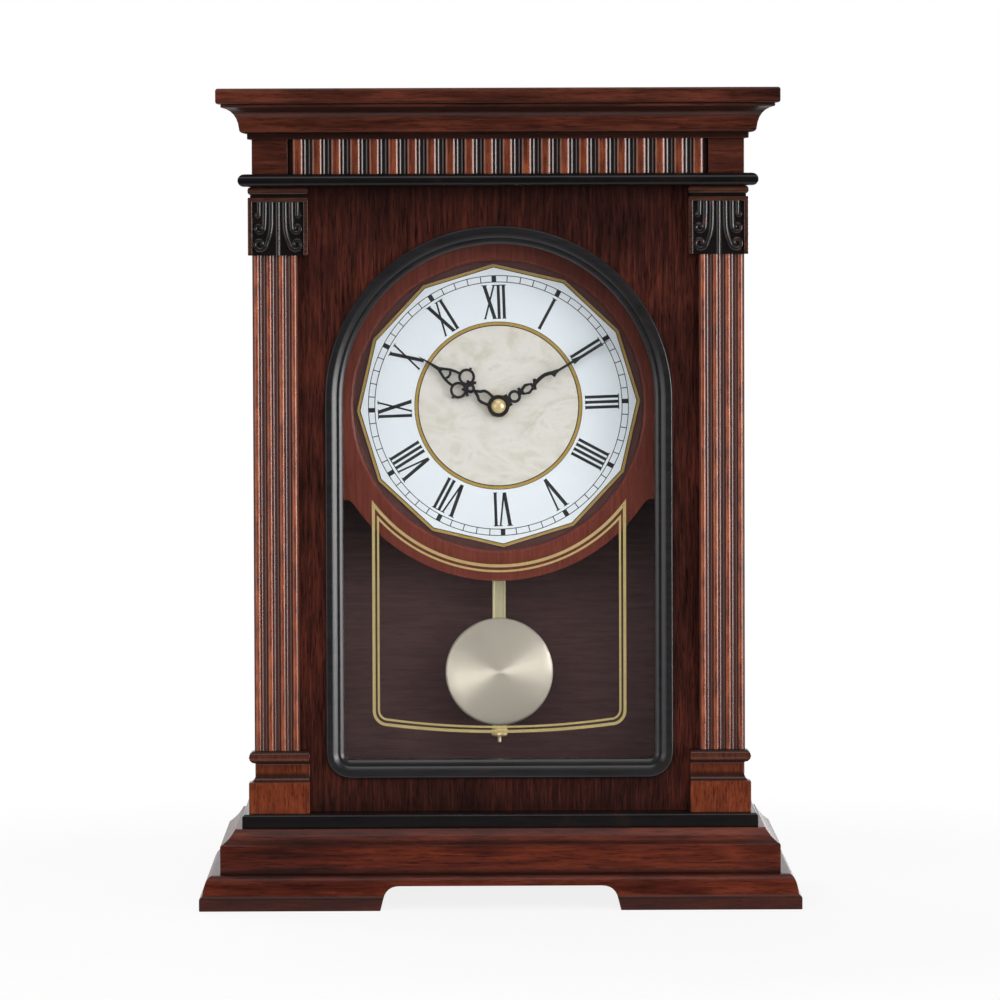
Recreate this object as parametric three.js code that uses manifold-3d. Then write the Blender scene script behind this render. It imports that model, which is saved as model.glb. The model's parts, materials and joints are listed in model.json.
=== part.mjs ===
// Chiming mantel clock: a wooden case with reeded pilasters, an arched glazed front,
// a twelve-sided dial, a pendulum and a battery chime movement behind a hinged back door.
// Millimetres, +Z up, front towards -Y, origin on the table under the middle of the clock.
import * as THREE from 'three';
import { mergeVertices } from 'three/addons/utils/BufferGeometryUtils.js';
import Module from 'manifold-3d';

const wasm = await Module();
wasm.setup();

// Fits
const seatGap = 0.3; // around a piece that sits in or beside another
const runGap = 0.3; // round a shaft that turns
const doorGap = 1; // round the back door
const cutOver = 1; // how far a cutter runs past the face it cuts

// Case plan
const caseWidth = 244;
const caseDepth = 112.9; // face of the frieze to the back
const trimThickness = 8; // pilasters and frieze, in front of the panel
const panelThickness = 10;
const sideThickness = 9;

// Plinth, from the table up
const footHeight = 6;
const ogeeHeight = 11.2;
const plinthFaceHeight = 14;
const plinthCoveHeight = 7.9;
const plinthBoardThickness = 6.9;
const plinthLedge = 8; // the mouldings reach this far in under the plinth board
const footProjection = 27.1;
const footChamfer = 1.6;
const ogeeProjection = 21.1;
const plinthFaceProjection = 16.9;
const coveTopProjection = 9.6;
const plinthBoardProjection = 6.3;
const plinthBoardRound = 1.8;
const rearRailThickness = 12;

// Cut between the front feet
const footArchWidth = 119;
const footArchHeight = 12;
const footArchLean = 1.4;
const footArchCornerWidth = 8.1;
const footArchCornerHeight = 6.4;

// Pilasters
const pilasterWidth = 22.5;
const reedCount = 4;
const reedRise = 2;
const columnBlockHeight = 15.5;
const columnHollowHeight = 4.4;
const columnNeckHeight = 5;
const columnTorusHeight = 6.4;
const columnNeckInset = 3.4;
const columnBaseOverhang = 2.9;
const columnBaseInnerOverhang = 4.8;
const shaftHeight = 246.2;
const capitalFieldHeight = 28.7;
const capitalGrooveHeight = 1.3;
const capitalGrooveDepth = 1.2;
const abacusHeight = 4;
const capitalOverhang = 2.1;
const capitalInnerOverhang = 5.2;
const capitalBorder = 2.6;
const carvingDepth = 2;
const carvingStem = 1.5; // width of a carved stem
const carvingRelief = 1.5; // height of a carved stem above the field

// Astragal, frieze, cornice and top
const astragalHeight = 6.3;
const astragalProjection = 6.9;
const friezeHeight = 17.2;
const stripUnits = 22;
const stripReedWidth = 5.25;
const stripFluteWidth = 4.2;
const stripReedRise = 1.2;
const stripFluteDepth = 1.6;
const stripThickness = 5;
const corniceFilletHeight = 2.8;
const corniceRoundHeight = 2.2;
const corniceCoveHeight = 10.6;
const corniceCrownHeight = 1.7;
const corniceFilletProjection = 2.2;
const corniceNeckProjection = 6;
const corniceCrownProjection = 14.8;
const topBoardThickness = 7.7;
const topBoardProjection = 17.3;
const topBoardRound = 1.2;

// Arched opening and its bead
const archMargin = 13; // pilaster to bead
const archTopMargin = 19.7; // crown of the bead to the astragal
const openingSill = 16.9; // case floor to the bead
const archCorner = 12.4;
const beadWidth = 8.9;
const beadLip = 5; // bead lying on the face of the panel
const beadFillet = 1.2;
const beadRoll = 5.5;
const beadRollHeight = 2.4;
const archSteps = 36;
const cornerSteps = 4;

// Glass and the battens that hold it
const glassThickness = 3;
const glassLap = 3.5;
const battenDepth = 14.9; // back of the panel to the dial mask
const battenLip = 4;
const battenSideGap = 5;
const battenReach = 4; // past the glass, top and bottom

// Dial mask and dial
const maskThickness = 9;
const maskInset = 2; // inside the battens' outer edges
const maskShoulder = 47.1; // lower edge of the shoulders, below the dial centre
const maskApron = 17; // wood round the dial at the bottom
const maskFillet = 4.5;
const dialDrop = 3.7; // dial centre below the centre of the arch
const dialMargin = 6.6; // dial corners to the bead
const dialSides = 12;
const dialTurn = -1.9; // degrees, the dial sits turned a little
const dialThickness = 2;
const dialRecess = 3;
const dialRecessMargin = 1.2;
const dialRecessRound = 2.4; // rounded rim of the recess

// Hands and the nest of shafts that carries them
const arborRadius = 1.5;
const hourTubeWall = 0.8;
const bushWall = 1.1;
const bushFlange = 3;
const bushFlangeThickness = 1.5;
const fixingNutWidth = 12.6; // across corners
const fixingNutHeight = 2.4;
const handThickness = 0.8;
const hourHandGap = 0.8; // fixing nut to hour hand
const minuteHandGap = 1.2; // hour hand to minute hand
const hourHandLength = 45.4;
const minuteHandLength = 61.3;
const hourHandAngle = -58; // degrees clockwise from twelve
const minuteHandAngle = 59.4;
const hourHubRadius = 5;
const minuteHubRadius = 5.35;
const handNutRadius = 3.6;
const handNutHeight = 2.7;
const handNutBore = 1.5; // depth of its hole

// Movement
const movementWidth = 116;
const movementUp = 34; // above the hands' axis
const movementDown = 52; // below it
const movementDepth = 23;
const movementWall = 2;
const coverThickness = 2;
const gearThickness = 1.6;
const pinionExtra = 0.4; // a pinion is this much wider on each side
const gearClear = 2; // front wall to the first gear
const gearPitchGap = 1.4; // first gear to the second
const minuteModule = 0.6;
const cannonTeeth = 12;
const motionTeeth = 36;
const motionPinionTeeth = 10;
const hourTeeth = 40;
const gearStudRadius = 1;
const knobStemRadius = 1.8;
const knobRadius = 8;
const knobHeight = 8;
const speakerRadius = 18;
const speakerDepth = 11;
const speakerX = -34;
const speakerZ = -14;
const grilleSlots = 5;
const grilleSlotWidth = 2.4;
const grillePitch = 5.4;
const batteryRadius = 7.1;
const batteryLength = 50;
const batteryX = 30;
const batteryPitch = 16;
const batteryButtonRadius = 2.7;
const batteryButtonHeight = 1.2;
const lidThickness = 1.8;
const lidMargin = 1; // lid past its opening
const railWall = 2;
const railLip = 2;
const volumeX = -44;
const volumeZ = 22;
const volumeRadius = 6;
const volumeHeight = 5;
const volumeStemRadius = 2;
const switchX = -16;
const switchZ = 24;
const switchTravel = 3.5; // each way
const switchNeck = 3;
const switchTab = 5;
const switchFlange = 9;

// Pendulum
const pivotDrop = 42; // below the hands' axis
const pivotRadius = 1.5;
const leverY = 5; // from the mask
const leverThickness = 2;
const leverEye = 4;
const leverWidth = 7;
const leverLength = 24;
const leverSlotGap = 2; // each side of the arm, so that it can swing
const pegDrop = 20;
const pegRadius = 1.4;
const rodWidth = 6.6;
const rodThickness = 0.8;
const rodRib = 1; // raised edges of the rod
const rodRibHeight = 0.4;
const rodTopMargin = 4.5; // above the peg
const rodScrewRadius = 0.9;
const rodTip = 3.2; // below the rating nut
const bobAboveSill = 50;
const bobRadius = 27.1;
const bobThickness = 4;
const bobRim = 1.2;
const ratingNutRadius = 4.3;
const ratingNutHeight = 5.3;

// Back door
const doorThickness = 8;
const doorRecess = 12; // behind the back edge of the case
const backRailHeight = 20;
const soundSlots = 5;
const soundSlotLength = 60;
const soundSlotWidth = 3.6;
const soundSlotPitch = 9;
const hingeLength = 36;
const hingeLeafWidth = 12;
const hingeLeafThickness = 1.2;
const hingeKnuckle = 2.2; // radius
const hingePin = 1;
const hingeEndMargin = 45;
const doorKnobInset = 16; // from the free edge of the door
const doorKnobRadius = 7;
const doorKnobLength = 10.5;
const catchWidth = 15;
const catchHeight = 20;
const catchDepth = 12;
const catchPlateThickness = 1.2;

// Levels up the case
const caseHalf = caseWidth / 2;
const zCove = footHeight + ogeeHeight + plinthFaceHeight;
const zPlinthBoard = zCove + plinthCoveHeight;
const zFloor = zPlinthBoard + plinthBoardThickness;
const zShaft = zFloor + columnBlockHeight + columnHollowHeight + columnNeckHeight + columnTorusHeight;
const zCapital = zShaft + shaftHeight;
const zGroove = zCapital + capitalFieldHeight;
const zAstragal = zGroove + capitalGrooveHeight + abacusHeight;
const zFrieze = zAstragal + astragalHeight;
const zCornice = zFrieze + friezeHeight;
const zCrown = zCornice + corniceFilletHeight + corniceRoundHeight + corniceCoveHeight;
const zTopBoard = zCrown + corniceCrownHeight;
const zTop = zTopBoard + topBoardThickness;

// Planes from front to back
const yBack = (caseDepth + footProjection) / 2;
const yTrim = yBack - caseDepth;
const yPanel = yTrim + trimThickness;
const yPanelBack = yPanel + panelThickness;
const yGlassBack = yPanelBack + glassThickness;
const yMask = yPanelBack + battenDepth;
const yMaskBack = yMask + maskThickness;
const yDialBack = yMask + dialRecess;
const yDial = yDialBack - dialThickness;
const yNut = yDial - fixingNutHeight;
const yHourHand = yNut - hourHandGap - handThickness;
const yMinuteHand = yHourHand - minuteHandGap - handThickness;
const yMovementInner = yMaskBack + movementWall;
const yCover = yMaskBack + movementDepth;
const yCoverBack = yCover + coverThickness;
const yHourGear = yMovementInner + gearClear;
const yMinuteGear = yHourGear + gearThickness + gearPitchGap;
const yDoorBack = yBack - doorRecess;
const yDoor = yDoorBack - doorThickness;

// Places
const innerHalf = caseHalf - sideThickness;
const pilasterInner = caseHalf - pilasterWidth;
const archRadius = pilasterInner - archMargin;
const zArch = zAstragal - archTopMargin - archRadius;
const zSill = zFloor + openingSill;
const zDial = zArch - dialDrop;
const dialRadius = archRadius - beadWidth - dialMargin;
const glassHalf = archRadius + glassLap;
const glassLow = zSill - glassLap;
const glassHigh = zArch + archRadius + glassLap;
const battenOuter = innerHalf - battenSideGap;
const maskHalf = battenOuter - maskInset;
const maskTop = glassHigh - zDial;
const bobDrop = zDial - pivotDrop - (zSill + bobAboveSill);
const leverFront = yMaskBack + leverY;
const leverBack = leverFront + leverThickness;
const rodFront = leverBack + seatGap + rodRibHeight;
const rodBack = rodFront + rodThickness;
const hourTubeInner = arborRadius + runGap;
const hourTubeOuter = hourTubeInner + hourTubeWall;
const bushInner = hourTubeOuter + runGap;
const bushOuter = bushInner + bushWall;

// Finishes
function finish(color, roughness, metalness) {
  return new THREE.MeshStandardMaterial({ color, roughness, metalness });
}
const cherry = finish(0x5a2418, 0.35, 0);
const darkCherry = finish(0x3a1712, 0.35, 0);
const ebonised = finish(0x141213, 0.4, 0);
const brass = finish(0xc9b27c, 0.35, 1);
const blackMetal = finish(0x121214, 0.5, 0.6);
const dialWhite = finish(0xe1e8f0, 0.6, 0);
const glass = finish(0xdfe8ea, 0.05, 0);
const blackPlastic = finish(0x1b1b1d, 0.5, 0);
const greyPlastic = finish(0x55585c, 0.5, 0);
const steel = finish(0x9a9da1, 0.35, 1);
const cellJacket = finish(0x2d4f39, 0.4, 0);

// Points on an arc, both ends included
function arcPoints(cx, cy, radius, from, to, steps) {
  return Array.from({ length: steps + 1 }, (_, i) => {
    const angle = from + ((to - from) * i) / steps;
    return new THREE.Vector2(cx + radius * Math.cos(angle), cy + radius * Math.sin(angle));
  });
}

// Only positions, shared corners merged and collapsed triangles left out
function closed(geometry) {
  const flat = geometry.index ? geometry.toNonIndexed() : geometry;
  const bare = new THREE.BufferGeometry();
  bare.setAttribute('position', flat.getAttribute('position'));
  const merged = mergeVertices(bare, 1e-4);
  const corners = merged.index.array;
  const kept = [];
  for (let i = 0; i < corners.length; i += 3) {
    const [a, b, c] = corners.subarray(i, i + 3);
    if (a !== b && b !== c && c !== a) {
      kept.push(a, b, c);
    }
  }
  merged.setIndex(kept);
  return merged;
}

// Turns a closed geometry's faces round if they point inwards
function facingOut(geometry) {
  const merged = closed(geometry);
  const position = merged.getAttribute('position');
  const index = Array.from(merged.index.array);
  const [a, b, c] = [new THREE.Vector3(), new THREE.Vector3(), new THREE.Vector3()];
  let volume = 0;
  for (let i = 0; i < index.length; i += 3) {
    a.fromBufferAttribute(position, index[i]);
    b.fromBufferAttribute(position, index[i + 1]);
    c.fromBufferAttribute(position, index[i + 2]);
    volume += a.dot(b.cross(c));
  }
  if (volume < 0) {
    index.reverse();
  }
  merged.setIndex(index);
  return merged;
}

function toSolid(geometry) {
  const merged = closed(geometry);
  return new wasm.Manifold(new wasm.Mesh({
    numProp: 3,
    vertProperties: new Float32Array(merged.getAttribute('position').array),
    triVerts: new Uint32Array(merged.index.array),
  }));
}

function toGeometry(solid) {
  const mesh = solid.getMesh();
  const geometry = new THREE.BufferGeometry();
  geometry.setAttribute('position', new THREE.BufferAttribute(mesh.vertProperties, 3));
  geometry.setIndex(new THREE.BufferAttribute(mesh.triVerts, 1));
  return geometry;
}

function cut(geometry, ...tools) {
  return toGeometry(tools.reduce((solid, tool) => solid.subtract(toSolid(tool)), toSolid(geometry)));
}

function join(...geometries) {
  return toGeometry(geometries.map(toSolid).reduce((all, solid) => all.add(solid)));
}

// A box between two values on each axis
function block(x, y, z) {
  const geometry = new THREE.BoxGeometry(1, 1, 1);
  const position = geometry.getAttribute('position');
  for (let i = 0; i < position.count; i += 1) {
    const side = [position.getX(i), position.getY(i), position.getZ(i)].map((v) => (v > 0 ? 1 : 0));
    position.setXYZ(i, x[side[0]], y[side[1]], z[side[2]]);
  }
  return geometry;
}

// A flat outline pushed along an axis; its own axes are (y, z), (x, z) or (x, y)
function extrude(shape, axis, [from, to], curveSegments = 3) {
  const geometry = new THREE.ExtrudeGeometry(shape, { depth: 1, bevelEnabled: false, curveSegments });
  const position = geometry.getAttribute('position');
  const place = {
    x: (a, b, far) => [far ? to : from, a, b],
    y: (a, b, far) => [a, far ? from : to, b],
    z: (a, b, far) => [a, b, far ? to : from],
  }[axis];
  for (let i = 0; i < position.count; i += 1) {
    position.setXYZ(i, ...place(position.getX(i), position.getY(i), position.getZ(i) > 0.5));
  }
  return geometry;
}

// Rings of corners joined into a skin, with the two end rings filled or the rings joined in a loop
function loft(rings, section, loop = false) {
  const count = section.length;
  const index = [];
  const spans = loop ? rings.length : rings.length - 1;
  for (let i = 0; i < spans; i += 1) {
    const near = i * count;
    const far = ((i + 1) % rings.length) * count;
    for (let j = 0; j < count; j += 1) {
      const next = (j + 1) % count;
      index.push(near + j, near + next, far + next, near + j, far + next, far + j);
    }
  }
  if (!loop) {
    const last = (rings.length - 1) * count;
    const turn = Math.sign(THREE.ShapeUtils.area(section));
    THREE.ShapeUtils.triangulateShape(section, []).forEach(([a, b, c]) => {
      const same = Math.sign(THREE.ShapeUtils.area([section[a], section[b], section[c]])) === turn;
      const [p, q] = same ? [b, c] : [c, b];
      index.push(q, p, a, last + a, last + p, last + q);
    });
  }
  const geometry = new THREE.BufferGeometry().setFromPoints(rings.flat());
  geometry.setIndex(index);
  return facingOut(geometry);
}

// A profile of [radius, height] turned round the Y axis, or round Z
function turned(profile, segments, axis = 'y') {
  const points = profile.map(([radius, height]) => new THREE.Vector2(radius, height));
  const geometry = new THREE.LatheGeometry(points, segments);
  if (axis === 'z') {
    geometry.rotateX(Math.PI / 2);
  }
  return facingOut(geometry);
}

function rod(radius, [from, to], segments = 16, axis = 'y') {
  return turned([[0, from], [radius, from], [radius, to], [0, to]], segments, axis);
}

function tube(inner, outer, [from, to], segments = 20, axis = 'y') {
  const wall = [[inner, from], [outer, from], [outer, to], [inner, to], [inner, from]];
  return turned(wall, segments, axis);
}

// A knob or nut with fine flats round its edge, along Y or Z
function knurled(radius, ridges, depth) {
  const points = Array.from({ length: ridges * 2 }, (_, i) => {
    const angle = (Math.PI * i) / ridges;
    const reach = i % 2 ? radius : radius - depth;
    return new THREE.Vector2(reach * Math.cos(angle), reach * Math.sin(angle));
  });
  return new THREE.Shape(points);
}

// A strip of even width along a smooth line through a few points, as a flat outline
function ribbon(points, width, steps = 8) {
  const curve = new THREE.SplineCurve(points.map(([x, y]) => new THREE.Vector2(x, y)));
  const left = [];
  const right = [];
  for (let i = 0; i <= steps; i += 1) {
    const at = curve.getPoint(i / steps);
    const along = curve.getTangent(i / steps);
    const side = new THREE.Vector2(-along.y, along.x).multiplyScalar(width / 2);
    left.push(at.clone().add(side));
    right.push(at.clone().sub(side));
  }
  return new THREE.Shape([...left, ...right.reverse()]);
}

function disc(radius, cx = 0, cy = 0, steps = 24) {
  return new THREE.Shape(arcPoints(cx, cy, radius, 0, 2 * Math.PI, steps).slice(1));
}

function hoop(radius, width, cx = 0, cy = 0, steps = 24) {
  const shape = disc(radius + width / 2, cx, cy, steps);
  shape.holes.push(disc(radius - width / 2, cx, cy, steps));
  return shape;
}

// A moulding along the front or one side: its profile is (projection, height) and its ends are
// mitred at the front corners and square at the back
const frontLeft = { x: -caseHalf, y: yTrim, dx: -1, dy: -1 };
const frontRight = { x: caseHalf, y: yTrim, dx: 1, dy: -1 };
const backRight = { x: caseHalf, y: yBack, dx: 1, dy: 0 };

function moulding(profile, ...ends) {
  const rings = ends.map((end) => profile.map(
    (p) => new THREE.Vector3(end.x + p.x * end.dx, end.y + p.x * end.dy, p.y),
  ));
  return loft(rings, profile);
}

// A block whose front, left and right faces step in and out together as it rises;
// with a plain left end, that face stays flat
function steppedBlock([x0, x1], [front, back], steps, plainLeft = false) {
  const rings = steps.map(([inset, z]) => [
    new THREE.Vector3(plainLeft ? x0 : x0 + inset, front + inset, z),
    new THREE.Vector3(x1 - inset, front + inset, z),
    new THREE.Vector3(x1 - inset, back, z),
    new THREE.Vector3(plainLeft ? x0 : x0 + inset, back, z),
  ]);
  return loft(rings, rings[0].map((p) => new THREE.Vector2(p.x, p.y)));
}

// Steps of a half-round edge between two heights, deepest at its middle
function halfRound(low, high, steps) {
  const radius = (high - low) / 2;
  return Array.from({ length: steps + 1 }, (_, i) => {
    const angle = Math.PI * (i / steps - 0.5);
    return [radius * (1 - Math.cos(angle)), low + radius * (1 + Math.sin(angle))];
  });
}

function add(group, name, geometry, material) {
  const mesh = new THREE.Mesh(closed(geometry), material);
  mesh.name = name;
  group.add(mesh);
  return mesh;
}

// The same piece on the left and on the right
function addPair(group, name, geometry, material) {
  add(group, `right_${name}`, geometry, material);
  const left = add(group, `left_${name}`, geometry, material);
  left.scale.x = -1;
}

const clock = new THREE.Group();
const caseGroup = new THREE.Group();
const dialGroup = new THREE.Group();
const movementGroup = new THREE.Group();
const pendulumGroup = new THREE.Group();
const doorGroup = new THREE.Group();
dialGroup.position.z = zDial;
movementGroup.position.z = zDial;
pendulumGroup.position.z = zDial - pivotDrop;
clock.add(caseGroup, dialGroup, movementGroup, pendulumGroup, doorGroup);

// Plinth: three mitred mouldings and a rear rail under a black board

const plinthProfile = new THREE.Path()
  .moveTo(-plinthLedge, 0)
  .lineTo(footProjection, 0)
  .lineTo(footProjection, footHeight)
  .lineTo(footProjection - footChamfer, footHeight + footChamfer)
  .bezierCurveTo(
    footProjection - footChamfer - 0.5, footHeight + ogeeHeight * 0.55,
    ogeeProjection + 2.6, footHeight + ogeeHeight * 0.95,
    ogeeProjection, footHeight + ogeeHeight,
  )
  .lineTo(plinthFaceProjection, footHeight + ogeeHeight)
  .lineTo(plinthFaceProjection, zCove)
  .quadraticCurveTo(
    coveTopProjection + plinthCoveHeight * 0.3, zCove + plinthCoveHeight * 0.4,
    coveTopProjection, zPlinthBoard,
  )
  .lineTo(-plinthLedge, zPlinthBoard)
  .getPoints(6);

function footArch() {
  const half = footArchWidth / 2;
  const lean = half - footArchLean;
  const flat = lean - footArchCornerWidth;
  const turn = footArchHeight - footArchCornerHeight;
  return new THREE.Shape()
    .moveTo(-half, -cutOver)
    .lineTo(half, -cutOver)
    .lineTo(half, 0)
    .lineTo(lean, turn)
    .quadraticCurveTo(lean - footArchLean, footArchHeight, flat, footArchHeight)
    .lineTo(-flat, footArchHeight)
    .quadraticCurveTo(-lean + footArchLean, footArchHeight, -lean, turn)
    .lineTo(-half, 0);
}

const frontMoulding = moulding(plinthProfile, frontLeft, frontRight);
const archCutter = extrude(
  footArch(), 'y', [yTrim - footProjection - cutOver, yTrim + plinthLedge + cutOver], 6,
);
add(caseGroup, 'plinth_front_moulding', cut(frontMoulding, archCutter), cherry);
addPair(caseGroup, 'plinth_side_moulding', moulding(plinthProfile, frontRight, backRight), cherry);

const ledgeHalf = caseHalf - plinthLedge;
const rearRail = block([-ledgeHalf, ledgeHalf], [yBack - rearRailThickness, yBack], [0, zPlinthBoard]);
add(caseGroup, 'plinth_rear_rail', rearRail, darkCherry);

const boardHalf = caseHalf + plinthBoardProjection;
const boardEdge = arcPoints(
  plinthBoardRound, zFloor - plinthBoardRound, plinthBoardRound, Math.PI, Math.PI / 2, 3,
);
const plinthBoard = steppedBlock(
  [-boardHalf, boardHalf], [yTrim - plinthBoardProjection, yBack],
  [[0, zPlinthBoard], ...boardEdge.map((p) => [p.x, p.y])],
);
add(caseGroup, 'plinth_board', plinthBoard, ebonised);

// Box of the case: two sides and a front panel with an arched hole

const side = block([innerHalf, caseHalf], [yPanelBack, yBack], [zFloor, zTopBoard]);
addPair(caseGroup, 'side_panel', side, darkCherry);

// Outline of the arched opening, this far inside the outer edge of its bead
function archPoints(inset) {
  const half = archRadius - inset;
  const corner = archCorner - inset;
  const low = zSill + inset + corner;
  return [
    ...arcPoints(half - corner, low, corner, -Math.PI / 2, 0, cornerSteps),
    ...arcPoints(0, zArch, half, 0, Math.PI, archSteps),
    ...arcPoints(corner - half, low, corner, Math.PI, 1.5 * Math.PI, cornerSteps),
  ];
}

const panelShape = new THREE.Shape([
  new THREE.Vector2(-caseHalf, zFloor),
  new THREE.Vector2(caseHalf, zFloor),
  new THREE.Vector2(caseHalf, zTopBoard),
  new THREE.Vector2(-caseHalf, zTopBoard),
]);
panelShape.holes.push(new THREE.Path(archPoints(beadLip)));
add(caseGroup, 'front_panel', extrude(panelShape, 'y', [yPanel, yPanelBack]), darkCherry);

// The bead lies on the face of the panel and lines the hole
const rollMiddle = beadFillet + beadRoll / 2;
const roll = arcPoints(0, 0, 1, Math.PI, 0, 6).map(
  (p) => [rollMiddle + (p.x * beadRoll) / 2, yPanel - beadFillet - p.y * beadRollHeight],
);
const beadProfile = [
  [0, yPanel],
  [0, yPanel - beadFillet],
  ...roll,
  [beadWidth, yPanel - beadFillet / 2],
  [beadWidth, yPanelBack - seatGap],
  [beadLip + seatGap, yPanelBack - seatGap],
  [beadLip + seatGap, yPanel],
].map(([inset, y]) => new THREE.Vector2(inset, y));
const beadOutlines = beadProfile.map((p) => archPoints(p.x));
const beadRings = beadOutlines[0].map((_, i) => beadProfile.map(
  (p, k) => new THREE.Vector3(beadOutlines[k][i].x, p.y, beadOutlines[k][i].y),
));
add(caseGroup, 'arch_bead', loft(beadRings, beadProfile, true), ebonised);

// Glass behind the panel, held by two rebated battens that also carry the dial mask

const pane = block([-glassHalf, glassHalf], [yPanelBack, yGlassBack], [glassLow, glassHigh]);
add(caseGroup, 'front_glass', pane, glass);

const rebate = glassHalf + seatGap;
const battenSection = new THREE.Shape([
  new THREE.Vector2(rebate, yPanelBack),
  new THREE.Vector2(battenOuter, yPanelBack),
  new THREE.Vector2(battenOuter, yMask),
  new THREE.Vector2(glassHalf - battenLip, yMask),
  new THREE.Vector2(glassHalf - battenLip, yGlassBack + seatGap),
  new THREE.Vector2(rebate, yGlassBack + seatGap),
]);
const batten = extrude(battenSection, 'z', [glassLow - battenReach, glassHigh + battenReach]);
addPair(caseGroup, 'glass_batten', batten, darkCherry);

// Pilasters: moulded base, reeded shaft and carved capital

const torusLow = zShaft - columnTorusHeight;
const neckLow = zFloor + columnBlockHeight + columnHollowHeight;
const columnHollow = arcPoints(0, 0, 1, 0, Math.PI / 2, 5).map((p) => [
  columnNeckInset * p.y,
  neckLow - columnHollowHeight * p.x,
]);
const columnBase = steppedBlock(
  [pilasterInner - columnBaseInnerOverhang, caseHalf + columnBaseOverhang],
  [yTrim - columnBaseOverhang, yPanel],
  [
    [0, zFloor],
    ...columnHollow,
    [columnNeckInset, neckLow + columnNeckHeight * 0.8],
    ...halfRound(torusLow, zShaft, 6),
  ],
  true,
);
addPair(caseGroup, 'pilaster_base', columnBase, cherry);

const reedPitch = pilasterWidth / reedCount;
const shaftSection = new THREE.Shape().moveTo(pilasterInner, yTrim + reedRise);
for (let i = 0; i < reedCount; i += 1) {
  const middle = pilasterInner + reedPitch * (i + 0.5);
  shaftSection.absellipse(middle, yTrim + reedRise, reedPitch / 2, reedRise, Math.PI, 2 * Math.PI, false, 0);
}
shaftSection.lineTo(caseHalf, yPanel).lineTo(pilasterInner, yPanel);
addPair(caseGroup, 'pilaster_shaft', extrude(shaftSection, 'z', [zShaft, zCapital]), cherry);

const capitalInner = pilasterInner - capitalInnerOverhang;
const capitalOuter = caseHalf + capitalOverhang;
const yCapital = yTrim - capitalOverhang;
const capitalBody = steppedBlock(
  [capitalInner, capitalOuter], [yCapital, yPanel],
  [
    [0, zCapital],
    [0, zGroove],
    [capitalGrooveDepth, zGroove],
    [capitalGrooveDepth, zGroove + capitalGrooveHeight],
    ...halfRound(zGroove + capitalGrooveHeight, zAstragal, 6),
  ],
);
const capitalField = block(
  [capitalInner + capitalBorder, capitalOuter - capitalBorder],
  [yCapital - cutOver, yCapital + carvingDepth],
  [zCapital - cutOver, zGroove - capitalBorder],
);

// Carved stems: a straight rib, and two that curl outwards on each side
function carvedStems() {
  const middle = (capitalInner + capitalOuter) / 2;
  const high = zGroove - capitalBorder;
  const drop = high - zCapital;
  const spread = (capitalOuter - capitalInner) / 2 - capitalBorder;
  const rib = ribbon([[0, 0], [0, -drop]], carvingStem, 1);
  const curl = (start, low, eye) => ribbon([
    [spread * start, 0],
    [spread * start, -drop * (low - 0.24)],
    [spread * (start + eye) / 2, -drop * low],
    [spread * 0.88, -drop * (low - 0.1)],
    [spread * eye, -drop * (low - 0.17)],
  ], carvingStem, 10);
  const stems = [curl(0.26, 0.92, 0.72), curl(0.5, 0.6, 0.76)];
  const relief = [yCapital + carvingDepth - carvingRelief, yCapital + carvingDepth + seatGap];
  const right = stems.map((stem) => extrude(stem, 'y', relief));
  const left = right.map((stem) => facingOut(closed(stem).scale(-1, 1, 1)));
  return [extrude(rib, 'y', relief), ...right, ...left].map((stem) => stem.translate(middle, 0, high));
}
const capital = join(cut(capitalBody, capitalField), ...carvedStems());
addPair(caseGroup, 'capital', capital, darkCherry);

// Astragal: a black half-round band across the front and along both sides

const astragalProfile = [
  [0, zAstragal],
  ...halfRound(zAstragal, zFrieze, 8).map(([inset, z]) => [astragalProjection - inset, z]),
  [0, zFrieze],
].map(([projection, z]) => new THREE.Vector2(projection, z));
const astragalShelf = block([-caseHalf, caseHalf], [yTrim, yPanel], [zAstragal, zFrieze]);
const astragalFront = join(moulding(astragalProfile, frontLeft, frontRight), astragalShelf);
add(caseGroup, 'astragal_front', astragalFront, ebonised);
addPair(caseGroup, 'astragal_side', moulding(astragalProfile, frontRight, backRight), ebonised);

// Frieze board with a strip of reeds and flutes let into it

const stripPitch = stripReedWidth + stripFluteWidth;
const stripHalf = (stripPitch * stripUnits) / 2;
const stripFace = yTrim + stripReedRise;
const friezeBoard = cut(
  block([-caseHalf, caseHalf], [yTrim, yPanel], [zFrieze, zTopBoard]),
  block(
    [-stripHalf - seatGap, stripHalf + seatGap],
    [yTrim - cutOver, yTrim + stripThickness],
    [zFrieze - cutOver, zCornice + seatGap],
  ),
);
add(caseGroup, 'frieze_board', friezeBoard, cherry);

const stripSection = new THREE.Shape().moveTo(-stripHalf, stripFace + stripFluteDepth);
for (let i = 0; i < stripUnits; i += 1) {
  const start = -stripHalf + stripPitch * i;
  const halfFlute = stripFluteWidth / 2;
  const reedMiddle = start + halfFlute + stripReedWidth / 2;
  stripSection.absellipse(start, stripFace, halfFlute, stripFluteDepth, Math.PI / 2, 0, true, 0);
  stripSection.absellipse(
    reedMiddle, stripFace, stripReedWidth / 2, stripReedRise, Math.PI, 2 * Math.PI, false, 0,
  );
  stripSection.absellipse(
    start + stripPitch, stripFace, halfFlute, stripFluteDepth, Math.PI, Math.PI / 2, true, 0,
  );
}
stripSection.lineTo(stripHalf, yTrim + stripThickness).lineTo(-stripHalf, yTrim + stripThickness);
add(caseGroup, 'reeded_strip', extrude(stripSection, 'z', [zFrieze, zCornice], 2), cherry);

// Cornice and top

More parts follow.
